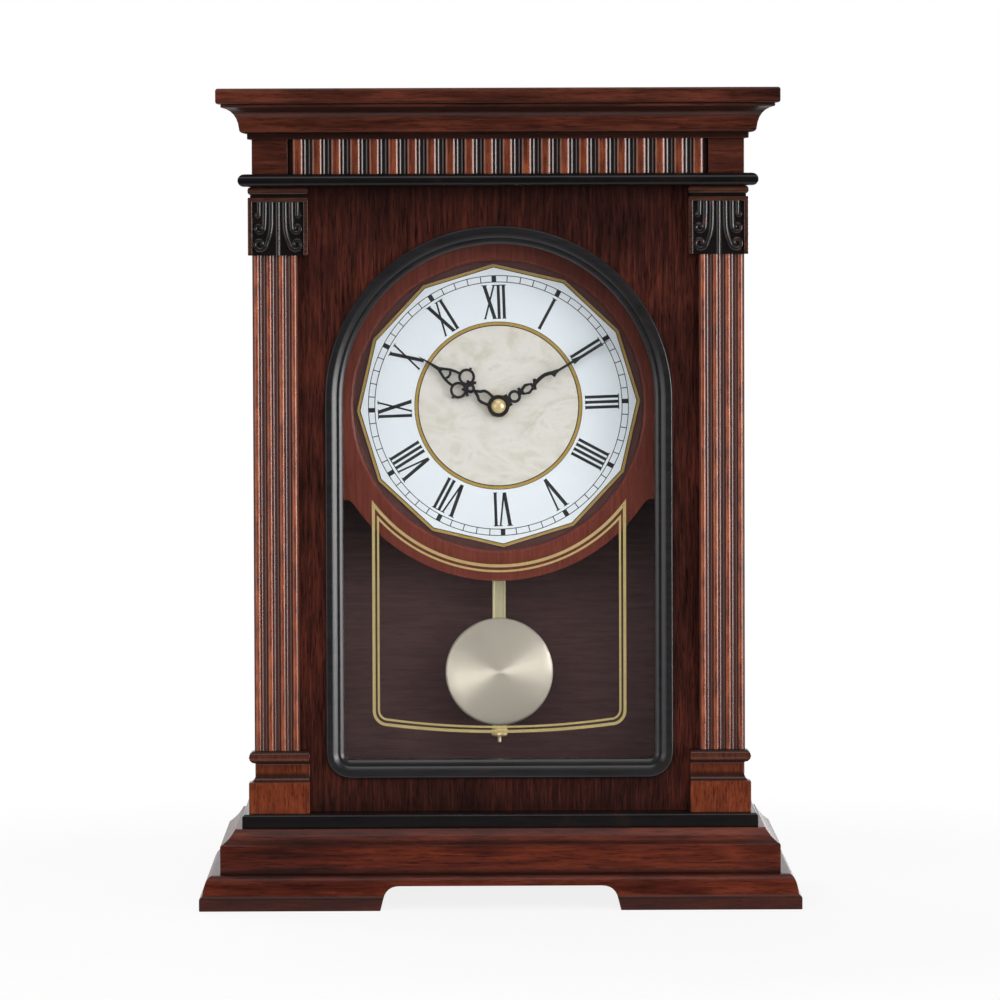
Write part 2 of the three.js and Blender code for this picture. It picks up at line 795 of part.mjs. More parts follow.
const zCorniceRound = zCornice + corniceFilletHeight;
const zCorniceCove = zCorniceRound + corniceRoundHeight;
const corniceProfile = new THREE.Path()
  .moveTo(0, zCornice)
  .lineTo(corniceFilletProjection, zCornice)
  .lineTo(corniceFilletProjection, zCorniceRound)
  .quadraticCurveTo(corniceNeckProjection, zCorniceRound, corniceNeckProjection, zCorniceCove)
  .quadraticCurveTo(
    corniceNeckProjection + 0.8, zCrown - 1.6,
    corniceCrownProjection - 0.4, zCrown,
  )
  .lineTo(corniceCrownProjection, zCrown)
  .lineTo(corniceCrownProjection, zTopBoard)
  .lineTo(0, zTopBoard)
  .getPoints(6);
add(caseGroup, 'cornice_front', moulding(corniceProfile, frontLeft, frontRight), cherry);
addPair(caseGroup, 'cornice_side', moulding(corniceProfile, frontRight, backRight), cherry);

const topHalf = caseHalf + topBoardProjection;
const lowEdge = arcPoints(
  topBoardRound, zTopBoard + topBoardRound, topBoardRound, 1.5 * Math.PI, Math.PI, 3,
);
const highEdge = arcPoints(topBoardRound, zTop - topBoardRound, topBoardRound, Math.PI, Math.PI / 2, 3);
const topBoard = steppedBlock(
  [-topHalf, topHalf], [yTrim - topBoardProjection, yBack],
  [...lowEdge, ...highEdge].map((p) => [p.x, p.y]),
);
add(caseGroup, 'top_board', topBoard, cherry);

const backRail = block(
  [-innerHalf, innerHalf], [yDoor, yDoorBack], [zTopBoard - backRailHeight, zTopBoard],
);
add(caseGroup, 'rear_top_rail', backRail, darkCherry);

// Dial mask: arched board behind the glass with a round apron and a turned recess for the dial

const maskRadius = dialRadius + maskApron;
const filletZ = -maskShoulder - maskFillet;
const filletX = Math.sqrt((maskRadius + maskFillet) ** 2 - filletZ ** 2);
const filletAngle = Math.atan2(filletZ, filletX);
const maskShape = new THREE.Shape([
  new THREE.Vector2(-maskHalf, maskTop),
  new THREE.Vector2(-maskHalf, -maskShoulder),
  ...arcPoints(-filletX, filletZ, maskFillet, Math.PI / 2, -filletAngle, 5),
  ...arcPoints(0, 0, maskRadius, Math.PI - filletAngle, 2 * Math.PI + filletAngle, 36).slice(1, -1),
  ...arcPoints(filletX, filletZ, maskFillet, Math.PI + filletAngle, Math.PI / 2, 5),
  new THREE.Vector2(maskHalf, -maskShoulder),
  new THREE.Vector2(maskHalf, maskTop),
]);
const recessRadius = dialRadius + dialRecessMargin;
const recessRim = arcPoints(
  recessRadius + dialRecessRound, yMask + dialRecessRound, dialRecessRound, 1.5 * Math.PI, Math.PI, 3,
);
const recess = turned([
  [0, yMask - cutOver],
  [recessRadius + dialRecessRound, yMask - cutOver],
  ...recessRim.map((p) => [p.x, p.y]),
  [recessRadius, yDialBack],
  [0, yDialBack],
], 48);
const bushHole = rod(bushOuter + seatGap, [yMask - cutOver, yMaskBack + movementWall + cutOver], 20);
add(dialGroup, 'dial_mask', cut(extrude(maskShape, 'y', [yMask, yMaskBack]), recess, bushHole), cherry);

const dialStart = Math.PI / 2 - THREE.MathUtils.degToRad(dialTurn);
const dialShape = new THREE.Shape(
  arcPoints(0, 0, dialRadius, dialStart, dialStart + 2 * Math.PI, dialSides).slice(1),
);
dialShape.holes.push(disc(bushOuter + seatGap, 0, 0, 20));
add(dialGroup, 'dial_plate', extrude(dialShape, 'y', [yDial, yDialBack]), dialWhite);

// Threaded bush through the mask and dial, with its nut

const bush = turned([
  [bushInner, yNut],
  [bushOuter, yNut],
  [bushOuter, yMovementInner],
  [bushOuter + bushFlange, yMovementInner],
  [bushOuter + bushFlange, yMovementInner + bushFlangeThickness],
  [bushInner, yMovementInner + bushFlangeThickness],
  [bushInner, yNut],
], 20);
add(dialGroup, 'threaded_bush', bush, brass);
const nutShape = disc(fixingNutWidth / 2, 0, 0, 6);
nutShape.holes.push(disc(bushOuter + seatGap, 0, 0, 20));
add(dialGroup, 'fixing_nut', extrude(nutShape, 'y', [yNut, yDial]), brass);

// Hands, drawn pointing at twelve: x across, z along the hand

function plate(shapes, [front, back]) {
  return join(...shapes.map((shape) => extrude(shape, 'y', [front, back])));
}

function pierced(geometry, radius, [front, back]) {
  return cut(geometry, rod(radius, [front - cutOver, back + cutOver], 20));
}

function mirroredRibbon(points, width, steps) {
  return [ribbon(points, width, steps), ribbon(points.map(([x, z]) => [-x, z]), width, steps)];
}

function hourHand() {
  const tip = new THREE.Shape([
    new THREE.Vector2(-0.9, 33.5),
    new THREE.Vector2(0.9, 33.5),
    new THREE.Vector2(0.45, 40),
    new THREE.Vector2(0, hourHandLength),
    new THREE.Vector2(-0.45, 40),
  ]);
  return [
    disc(hourHubRadius),
    ...mirroredRibbon([[2.2, 4], [2.9, 9.2], [1.2, 11.6], [0, 14.2]], 1.1),
    hoop(1.7, 1.1, 0, 16.6, 14),
    hoop(3.6, 1, -3.9, 21.2, 20),
    hoop(3.6, 1, 3.9, 21.2, 20),
    ...mirroredRibbon([[2.4, 19.9], [2.2, 18.2], [3.9, 15.7]], 1.1, 5),
    ...mirroredRibbon([[7.2, 21.4], [8.8, 21.8]], 0.9, 1),
    ...mirroredRibbon([[3.6, 24.6], [2.9, 29.4], [0.6, 34.6]], 1, 6),
    ribbon([[-2.7, 30], [0, 28.8], [2.7, 30]], 0.9, 5),
    tip,
  ];
}

function minuteHand() {
  const kidney = new THREE.Shape().absellipse(0, 16.7, 2.7, 3.9, 0, 2 * Math.PI, false, 0);
  kidney.holes.push(new THREE.Path().absellipse(0.1, 16.8, 1.6, 2.7, 0, 2 * Math.PI, false, 0.15));
  const thorn = new THREE.Shape([
    new THREE.Vector2(-0.9, 30.4),
    new THREE.Vector2(1.8, 31.6),
    new THREE.Vector2(0.1, 34.6),
  ]);
  const lance = new THREE.Shape([
    new THREE.Vector2(-1.2, 43.4),
    new THREE.Vector2(1.4, 43.6),
    new THREE.Vector2(0.6, 47),
    new THREE.Vector2(0, minuteHandLength),
    new THREE.Vector2(-0.6, 47),
  ]);
  return [
    disc(minuteHubRadius),
    ribbon([[-3, 5.4], [3, 5.4]], 2, 1),
    hoop(2.6, 1.1, 0, 9.3, 18),
    ribbon([[-2.6, 13.2], [0.8, 12.4]], 1.2, 1),
    kidney,
    ribbon([[-2.4, 22.4], [0, 21], [2.3, 20]], 1.3, 4),
    ribbon([[0, 20.6], [-1.2, 24.6], [-1.5, 28.2], [-0.4, 32], [0, 34.5]], 1.5),
    thorn,
    ribbon([[0, 34], [0, 44]], 0.9, 1),
    lance,
  ];
}

const hourGroup = new THREE.Group();
const minuteGroup = new THREE.Group();
hourGroup.rotation.y = THREE.MathUtils.degToRad(hourHandAngle);
minuteGroup.rotation.y = THREE.MathUtils.degToRad(minuteHandAngle);
dialGroup.add(hourGroup, minuteGroup);
const hourSpan = [yHourHand, yHourHand + handThickness];
const minuteSpan = [yMinuteHand, yMinuteHand + handThickness];
const hourPlate = pierced(plate(hourHand(), hourSpan), hourTubeOuter + seatGap, hourSpan);
add(hourGroup, 'hour_hand', hourPlate, blackMetal);
const minutePlate = pierced(plate(minuteHand(), minuteSpan), arborRadius + seatGap, minuteSpan);
add(minuteGroup, 'minute_hand', minutePlate, blackMetal);

const nutBack = yMinuteHand - seatGap;
const nutFront = nutBack - handNutHeight;
const handNut = turned([
  [0, nutFront],
  [handNutRadius * 0.5, nutFront + handNutHeight * 0.12],
  [handNutRadius * 0.87, nutFront + handNutHeight * 0.42],
  [handNutRadius, nutFront + handNutHeight * 0.8],
  [handNutRadius, nutBack],
  [arborRadius + seatGap, nutBack],
  [arborRadius + seatGap, nutBack - handNutBore],
  [0, nutBack - handNutBore],
], 24);
add(minuteGroup, 'hand_nut', handNut, brass);

// Motion work: the minute arbor drives the hour wheel through one double wheel, 12 to 1

const gearDistance = (minuteModule * (cannonTeeth + motionTeeth)) / 2;
const hourModule = (2 * gearDistance) / (motionPinionTeeth + hourTeeth);
const motionX = -gearDistance * Math.SQRT1_2;
const motionZ = -gearDistance * Math.SQRT1_2;
const knobZ = 2 * motionZ;

// Outline of a gear whose tooth, or gap, points along an angle
function gearShape(teeth, module, angle, gap = false) {
  const pitch = (2 * Math.PI) / teeth;
  const middle = (teeth * module) / 2;
  const tip = middle + 0.85 * module;
  const root = middle - 1.1 * module;
  const start = angle + (gap ? pitch / 2 : 0);
  const points = Array.from({ length: teeth }, (_, i) => [
    [root, -0.26], [tip, -0.1], [tip, 0.1], [root, 0.26],
  ].map(([radius, share]) => {
    const at = start + pitch * (i + share);
    return new THREE.Vector2(radius * Math.cos(at), radius * Math.sin(at));
  }));
  return new THREE.Shape(points.flat());
}

function gear(shape, [from, to], x = 0, z = 0) {
  return extrude(shape, 'y', [from, to]).translate(x, 0, z);
}

const hourGearSpan = [yHourGear, yHourGear + gearThickness];
const minuteGearSpan = [yMinuteGear, yMinuteGear + gearThickness];
const wider = ([from, to]) => [from - pinionExtra, to + pinionExtra];
const towardsMotion = -0.75 * Math.PI;
const towardsCentre = 0.25 * Math.PI;

const hourGear = gearShape(hourTeeth, hourModule, towardsMotion, true);
hourGear.holes.push(disc(hourTubeInner, 0, 0, 20));
const hourTube = tube(hourTubeInner, hourTubeOuter, [yHourHand, hourGearSpan[1]]);
add(movementGroup, 'hour_wheel', join(hourTube, gear(hourGear, hourGearSpan)), brass);

const cannonPinion = gear(gearShape(cannonTeeth, minuteModule, towardsMotion), wider(minuteGearSpan));
const arbor = rod(arborRadius, [nutBack - handNutBore + seatGap, yCoverBack - coverThickness / 2], 20);
add(movementGroup, 'minute_arbor', join(arbor, cannonPinion), steel);

const studBore = gearStudRadius + runGap;
const motionPinion = gear(gearShape(motionPinionTeeth, hourModule, towardsCentre), wider(hourGearSpan));
const motionHub = rod(studBore + 1, [hourGearSpan[1], minuteGearSpan[0]], 20);
const motionRim = gear(gearShape(motionTeeth, minuteModule, towardsCentre, true), minuteGearSpan);
const studHole = rod(studBore, [yHourGear - gearClear, yMinuteGear + gearThickness + gearClear], 20);
const motionWheel = cut(join(motionPinion, motionHub, motionRim), studHole);
add(movementGroup, 'motion_wheel', motionWheel.translate(motionX, 0, motionZ), brass);

// Setting knob: its pinion turns the motion work, its stem runs in the front wall and the cover

const knobFront = yCoverBack + seatGap;
const knobStem = rod(knobStemRadius, [yMovementInner - movementWall / 2, knobFront + cutOver], 20);
const knobPinion = gear(gearShape(cannonTeeth, minuteModule, -towardsMotion), wider(minuteGearSpan));
const knobGrip = extrude(knurled(knobRadius, 24, 0.6), 'y', [knobFront, knobFront + knobHeight]);
add(movementGroup, 'setting_knob', join(knobStem, knobPinion, knobGrip).translate(0, 0, knobZ), blackPlastic);

// Movement case, open at the back, with the stud of the motion wheel and the pivot of the pendulum

const movementHalf = movementWidth / 2;
const cavityHalf = movementHalf - movementWall;
const cavityLow = movementWall - movementDown;
const cavityHigh = movementUp - movementWall;
const leverSlot = block(
  [-leverWidth / 2 - leverSlotGap, leverWidth / 2 + leverSlotGap],
  [leverFront - seatGap, leverBack + seatGap],
  [-movementDown - cutOver, cavityLow + cutOver],
);
const shell = cut(
  block([-movementHalf, movementHalf], [yMaskBack, yCover], [-movementDown, movementUp]),
  block([-cavityHalf, cavityHalf], [yMovementInner, yCover + cutOver], [cavityLow, cavityHigh]),
  leverSlot,
  bushHole,
  rod(knobStemRadius + runGap, [yMaskBack - cutOver, yMovementInner + cutOver], 20).translate(0, 0, knobZ),
);
const gearStud = rod(gearStudRadius, [yMovementInner - seatGap, minuteGearSpan[1] + pinionExtra], 16);
const pivotPin = rod(pivotRadius, [yMovementInner - seatGap, leverBack + leverThickness], 16);
const movementCase = join(
  shell,
  gearStud.translate(motionX, 0, motionZ),
  pivotPin.translate(0, 0, -pivotDrop),
);
add(movementGroup, 'movement_case', movementCase, blackPlastic);

// Cover: bearings, sound grille, battery opening and the rails of its lid

const lidOpening = {
  x: [batteryX - batteryRadius - seatGap, batteryX + batteryPitch + batteryRadius + seatGap],
  z: [cavityLow + movementWall, cavityLow + batteryLength + batteryButtonHeight + seatGap],
};
const lidX = [lidOpening.x[0] - lidMargin, lidOpening.x[1] + lidMargin];
const lidZ = [lidOpening.z[0] - lidMargin, lidOpening.z[1] + lidMargin];
const lidY = [yCoverBack + seatGap, yCoverBack + seatGap + lidThickness];
const throughCover = [yCover - cutOver, yCoverBack + cutOver];

function lidRail(edge, inwards) {
  const wall = [edge - inwards * seatGap, edge - inwards * (seatGap + railWall)].sort((a, b) => a - b);
  const lip = [edge + inwards * railLip, edge - inwards * (seatGap + railWall)].sort((a, b) => a - b);
  const lipY = lidY[1] + seatGap;
  return join(
    block(wall, [yCoverBack - seatGap, lipY + railWall], lidZ),
    block(lip, [lipY, lipY + railWall], lidZ),
  );
}

function grilleCuts() {
  return Array.from({ length: grilleSlots }, (_, i) => {
    const offset = (i - (grilleSlots - 1) / 2) * grillePitch;
    const half = Math.sqrt((speakerRadius * 0.85) ** 2 - offset ** 2);
    return block(
      [speakerX - half, speakerX + half],
      throughCover,
      [speakerZ + offset - grilleSlotWidth / 2, speakerZ + offset + grilleSlotWidth / 2],
    );
  });
}

const switchHalf = switchNeck / 2 + seatGap;
const coverPlate = cut(
  block([-movementHalf, movementHalf], [yCover, yCoverBack], [-movementDown, movementUp]),
  block(lidOpening.x, throughCover, lidOpening.z),
  rod(arborRadius + runGap, throughCover, 20),
  rod(knobStemRadius + runGap, throughCover, 20).translate(0, 0, knobZ),
  rod(volumeStemRadius + runGap, throughCover, 20).translate(volumeX, 0, volumeZ),
  block(
    [switchX - switchTravel - switchHalf, switchX + switchTravel + switchHalf],
    throughCover,
    [switchZ - switchHalf, switchZ + switchHalf],
  ),
  ...grilleCuts(),
);
// The shut lid stands on this ledge
const lidLedge = block(
  lidX, [yCoverBack - seatGap, lidY[1]], [lidZ[0] - seatGap - railWall, lidZ[0] - seatGap],
);
const movementCover = join(coverPlate, lidRail(lidX[0], 1), lidRail(lidX[1], -1), lidLedge);
add(movementGroup, 'movement_cover', movementCover, blackPlastic);

const lidRib = [lidY[1] - seatGap, lidY[1] + 1];
const lidMiddle = (lidX[0] + lidX[1]) / 2;
const lidRibs = [0, 1, 2].map((i) => block(
  [lidMiddle - 6, lidMiddle + 6], lidRib, [lidZ[0] + 4 + 3 * i, lidZ[0] + 5.2 + 3 * i],
));
add(movementGroup, 'battery_lid', join(block(lidX, lidY, lidZ), ...lidRibs), greyPlastic);

// Two cells standing side by side in the case
['inner', 'outer'].forEach((place, i) => {
  const low = cavityLow + seatGap;
  const high = low + batteryLength - batteryButtonHeight;
  const cell = turned([
    [0, low],
    [batteryRadius, low],
    [batteryRadius, high],
    [batteryButtonRadius, high],
    [batteryButtonRadius, high + batteryButtonHeight],
    [0, high + batteryButtonHeight],
  ], 16, 'z');
  cell.translate(batteryX + batteryPitch * i, yMovementInner + seatGap + batteryRadius, 0);
  add(movementGroup, `battery_${place}`, cell, cellJacket);
});

// Chime speaker behind the grille
const speakerBack = yCover - seatGap;
const speaker = turned([
  [0, speakerBack - speakerDepth],
  [speakerRadius * 0.55, speakerBack - speakerDepth],
  [speakerRadius * 0.55, speakerBack - speakerDepth * 0.6],
  [speakerRadius * 0.9, speakerBack - 2],
  [speakerRadius, speakerBack - 2],
  [speakerRadius, speakerBack],
  [speakerRadius * 0.85, speakerBack],
  [speakerRadius * 0.35, speakerBack - 4],
  [0, speakerBack - 3],
], 24);
add(movementGroup, 'speaker', speaker.translate(speakerX, 0, speakerZ), greyPlastic);

const volumeGrip = extrude(knurled(volumeRadius, 18, 0.5), 'y', [knobFront, knobFront + volumeHeight]);
const volumeStem = rod(volumeStemRadius, [yCover - movementWall, knobFront + cutOver], 20);
const volumeKnob = join(volumeGrip, volumeStem).translate(volumeX, 0, volumeZ);
add(movementGroup, 'volume_knob', volumeKnob, greyPlastic);

function centred(width, middle) {
  return [middle - width / 2, middle + width / 2];
}
const chimeSwitch = join(
  block(centred(switchTab, switchX), [knobFront, knobFront + switchNeck], centred(switchTab, switchZ)),
  block(
    centred(switchNeck, switchX),
    [yCover - seatGap - movementWall / 2, knobFront + cutOver],
    centred(switchNeck, switchZ),
  ),
  block(
    centred(switchFlange, switchX),
    [yCover - seatGap - movementWall, yCover - seatGap],
    centred(switchFlange, switchZ),
  ),
);
add(movementGroup, 'chime_switch', chimeSwitch, greyPlastic);

// Pendulum, drawn about its pivot

const leverArm = new THREE.Shape([
  new THREE.Vector2(-leverWidth / 2, 0),
  new THREE.Vector2(-leverWidth / 2, -leverLength),
  new THREE.Vector2(leverWidth / 2, -leverLength),
  new THREE.Vector2(leverWidth / 2, 0),
]);
const peg = rod(pegRadius, [leverBack - seatGap, rodBack + leverThickness], 16).translate(0, 0, -pegDrop);
const lever = cut(
  join(plate([disc(leverEye), leverArm], [leverFront, leverBack]), peg),
  rod(pivotRadius + runGap, [leverFront - cutOver, leverBack + cutOver], 16),
);
add(pendulumGroup, 'pendulum_lever', lever, blackPlastic);

const bobLow = -bobDrop - bobRadius;
const nutHigh = bobLow - seatGap;
const nutLow = nutHigh - ratingNutHeight;
const rodMiddle = (rodFront + rodBack) / 2;
const half = rodWidth / 2;
const rodSection = new THREE.Shape([
  new THREE.Vector2(-half, rodBack),
  new THREE.Vector2(-half, rodFront - rodRibHeight),
  new THREE.Vector2(-half + rodRib, rodFront - rodRibHeight),
  new THREE.Vector2(-half + rodRib, rodFront),
  new THREE.Vector2(half - rodRib, rodFront),
  new THREE.Vector2(half - rodRib, rodFront - rodRibHeight),
  new THREE.Vector2(half, rodFront - rodRibHeight),
  new THREE.Vector2(half, rodBack),
]);
const stripLow = bobLow + bobRadius / 4;
const rodStrip = cut(
  extrude(rodSection, 'z', [stripLow, rodTopMargin - pegDrop]),
  rod(pegRadius + runGap, [rodFront - cutOver, rodBack + cutOver], 16).translate(0, 0, -pegDrop),
);
const rodScrew = rod(rodScrewRadius, [-stripLow - rodWidth, rodTip - nutLow], 12, 'z');
const screwDown = rodScrew.scale(1, 1, -1).translate(0, rodMiddle, 0);
add(pendulumGroup, 'pendulum_rod', join(rodStrip, facingOut(screwDown)), brass);

const bobBack = rodFront - rodRibHeight - seatGap;
const bobFront = bobBack - bobThickness;
const bob = turned([
  [0, bobFront],
  [bobRadius - bobRim, bobFront + bobRim * 0.4],
  [bobRadius - bobRim * 0.3, bobFront + bobRim * 0.8],
  [bobRadius, bobFront + bobRim * 1.6],
  [bobRadius, bobBack - bobRim / 2],
  [bobRadius - bobRim / 2, bobBack],
  [0, bobBack],
], 56);
add(pendulumGroup, 'pendulum_bob', bob.translate(0, 0, -bobDrop), brass);

const ratingNut = cut(
  extrude(knurled(ratingNutRadius, 20, 0.4), 'z', [nutLow, nutHigh]),
  extrude(disc(rodScrewRadius + runGap, 0, 0, 12), 'z', [nutLow - cutOver, nutHigh + cutOver]),
).translate(0, rodMiddle, 0);
add(pendulumGroup, 'rating_nut', ratingNut, brass);

// Back door, hung on two butt hinges at the right, with a magnetic catch at the left

const doorX = [doorGap - innerHalf, innerHalf - doorGap];
const doorZ = [zFloor + doorGap, zTopBoard - backRailHeight - doorGap];
const doorMiddle = (doorZ[0] + doorZ[1]) / 2;
const soundCuts = Array.from({ length: soundSlots }, (_, i) => {
  const z = zDial + speakerZ + (i - (soundSlots - 1) / 2) * soundSlotPitch;
  const reach = (soundSlotLength - soundSlotWidth) / 2;
  const slot = new THREE.Shape([
    ...arcPoints(reach, z, soundSlotWidth / 2, -Math.PI / 2, Math.PI / 2, 4),
    ...arcPoints(-reach, z, soundSlotWidth / 2, Math.PI / 2, 1.5 * Math.PI, 4),
  ]);
  return extrude(slot, 'y', [yDoor - cutOver, yDoorBack + cutOver]);
});
add(doorGroup, 'back_door', cut(block(doorX, [yDoor, yDoorBack], doorZ), ...soundCuts), darkCherry);

const hingeX = innerHalf - hingeKnuckle;
const hingeY = yDoorBack + seatGap + hingeKnuckle;

function atHinge(geometry) {
  return geometry.translate(hingeX, hingeY, 0);
}

// One hinge: the fixed leaf holds two knuckles and the pin, the door leaf the middle knuckle
function addHinge(name, low) {
  const third = hingeLength / 3;
  const [a, b, high] = [low + third, low + 2 * third, low + hingeLength];
  const middle = [a + seatGap, b - seatGap];
  const around = [hingePin + runGap, hingeKnuckle];
  const fixedPlate = block(
    [innerHalf - hingeLeafThickness, innerHalf],
    [hingeY, hingeY + hingeLeafWidth - hingeKnuckle - doorGap],
    [low, high],
  );
  const relief = atHinge(rod(hingeKnuckle + seatGap, [-b, -a], 20, 'z').scale(1, 1, -1));
  const fixedLeaf = join(
    cut(fixedPlate, facingOut(relief)),
    atHinge(facingOut(rod(hingeKnuckle, [-a, -low], 16, 'z').scale(1, 1, -1))),
    atHinge(facingOut(rod(hingeKnuckle, [-high, -b], 16, 'z').scale(1, 1, -1))),
    atHinge(facingOut(rod(hingePin, [-high, -low], 16, 'z').scale(1, 1, -1))),
  );
  add(doorGroup, `${name}_hinge_fixed_leaf`, fixedLeaf, brass);
  const doorPlate = block(
    [hingeX - hingeLeafWidth, hingeX - hingeKnuckle - seatGap],
    [yDoorBack, yDoorBack + hingeLeafThickness],
    [low, high],
  );
  const tongue = block(
    [hingeX - hingeKnuckle - 1, hingeX], [yDoorBack, yDoorBack + hingeLeafThickness], middle,
  );
  const knuckle = atHinge(facingOut(tube(...around, [-middle[1], -middle[0]], 16, 'z').scale(1, 1, -1)));
  const bore = atHinge(facingOut(rod(hingePin + runGap, [-high, -low], 16, 'z').scale(1, 1, -1)));
  const doorLeaf = cut(join(doorPlate, tongue, knuckle), bore);
  add(doorGroup, `${name}_hinge_door_leaf`, doorLeaf, brass);
}
addHinge('lower', doorZ[0] + hingeEndMargin);
addHinge('upper', doorZ[1] - hingeEndMargin - hingeLength);

const knobEnd = yDoorBack + doorKnobLength;
const doorKnob = turned([
  [0, yDoorBack],
  [doorKnobRadius * 0.6, yDoorBack],
  [doorKnobRadius * 0.45, yDoorBack + doorKnobLength * 0.35],
  [doorKnobRadius * 0.8, yDoorBack + doorKnobLength * 0.55],
  [doorKnobRadius, yDoorBack + doorKnobLength * 0.72],
  [doorKnobRadius * 0.8, knobEnd - doorKnobLength * 0.08],
  [0, knobEnd],
], 20);
add(doorGroup, 'door_knob', doorKnob.translate(doorX[0] + doorKnobInset, 0, doorMiddle), brass);

const catchZ = [doorMiddle - catchHeight / 2, doorMiddle + catchHeight / 2];
const catchX = [-innerHalf, catchWidth - innerHalf];
const plateY = yDoor - catchPlateThickness;
const catchPlate = block([doorX[0] + doorGap, catchX[1]], [plateY, yDoor], catchZ);
add(doorGroup, 'catch_plate', catchPlate, steel);
const magnetY = [plateY - seatGap - catchDepth, plateY - seatGap];
const pole = [magnetY[1] - 2, magnetY[1]];
const magnet = cut(
  block(catchX, magnetY, catchZ),
  block([catchX[0] + 4, catchX[1] + cutOver], [pole[0], pole[1] + cutOver], centred(6, doorMiddle)),
);
add(doorGroup, 'catch_magnet', magnet, blackPlastic);

export default clock;
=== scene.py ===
import json
import math

import bmesh
import bpy
from mathutils import Matrix, Quaternion, Vector


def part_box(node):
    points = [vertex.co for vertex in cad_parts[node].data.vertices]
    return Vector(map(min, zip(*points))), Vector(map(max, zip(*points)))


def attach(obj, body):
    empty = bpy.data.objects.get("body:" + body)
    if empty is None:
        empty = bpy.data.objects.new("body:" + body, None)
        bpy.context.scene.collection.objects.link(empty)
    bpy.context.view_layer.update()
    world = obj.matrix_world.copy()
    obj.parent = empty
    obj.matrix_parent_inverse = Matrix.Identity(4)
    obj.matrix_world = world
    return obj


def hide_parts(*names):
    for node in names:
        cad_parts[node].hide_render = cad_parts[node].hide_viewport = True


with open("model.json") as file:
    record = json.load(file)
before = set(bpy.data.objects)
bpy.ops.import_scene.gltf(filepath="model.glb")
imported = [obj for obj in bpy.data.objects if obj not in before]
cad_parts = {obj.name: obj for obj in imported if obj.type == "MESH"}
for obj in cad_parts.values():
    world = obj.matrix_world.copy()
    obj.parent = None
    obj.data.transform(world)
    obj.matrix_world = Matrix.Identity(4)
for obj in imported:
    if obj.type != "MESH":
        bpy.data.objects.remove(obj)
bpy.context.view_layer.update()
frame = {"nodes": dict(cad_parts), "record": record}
scene = bpy.context.scene
scene.view_settings.view_transform = "Standard"

record = frame["record"]
slotOf = {part["node"]: part["material_slot"] for part in record["subparts"]}
bodyOf = {node: body for body, nodes in record["behaviour"]["bodies"].items() for node in nodes}
print("frame loaded:", len(frame["nodes"]), "nodes")


# Finishes

millimetre = 0.001
black = (0, 0, 0, 1)
white = (1, 1, 1, 1)


def shade(red, green, blue):  # 0 to 255 as seen on a screen
    linear = []
    for channel in (red, green, blue):
        value = channel / 255
        linear.append(value / 12.92 if value <= 0.04045 else ((value + 0.055) / 1.055) ** 2.4)
    return (*linear, 1)


class NodeTree:
    def __init__(self, owner):
        owner.use_nodes = True
        self.nodes = owner.node_tree.nodes
        self.links = owner.node_tree.links

    def make(self, kind, **settings):
        node = self.nodes.new("ShaderNode" + kind)
        for setting, value in settings.items():
            setattr(node, setting, value)
        return node

    def feed(self, sockets, *values):  # an output is linked, a number or a colour is set
        for socket, value in zip(sockets, values):
            if isinstance(value, bpy.types.NodeSocket):
                self.links.new(value, socket)
            else:
                socket.default_value = value

    def put(self, node, **values):
        self.feed([node.inputs[name.replace("_", " ")] for name in values], *values.values())

    def calc(self, operation, first, second):
        node = self.make("Math", operation=operation)
        self.feed(node.inputs, first, second)
        return node.outputs["Value"]

    def length(self, vector):
        node = self.make("VectorMath", operation="LENGTH")
        self.feed(node.inputs, vector)
        return node.outputs["Value"]

    def axis(self, vector, name):
        node = self.make("SeparateXYZ")
        self.feed(node.inputs, vector)
        return node.outputs[name]

    def span(self, value, start, end=(0, 1), way="LINEAR"):
        node = self.make("MapRange", interpolation_type=way)
        self.feed(node.inputs, value, *start, *end)
        return node.outputs["Result"]

    def mix(self, factor, first, second):
        node = self.make("Mix")
        self.feed([node.inputs[i] for i in (0, 2, 3)], factor, first, second)
        return node.outputs[0]

    def seenClear(self, light):  # by the camera, straight or through clear glass
        bounces = self.calc("ADD", light["Diffuse Depth"], light["Glossy Depth"])
        through = self.calc("MULTIPLY", light["Is Transmission Ray"], self.calc("LESS_THAN", bounces, 0.5))
        return self.calc("MAXIMUM", light["Is Camera Ray"], through)


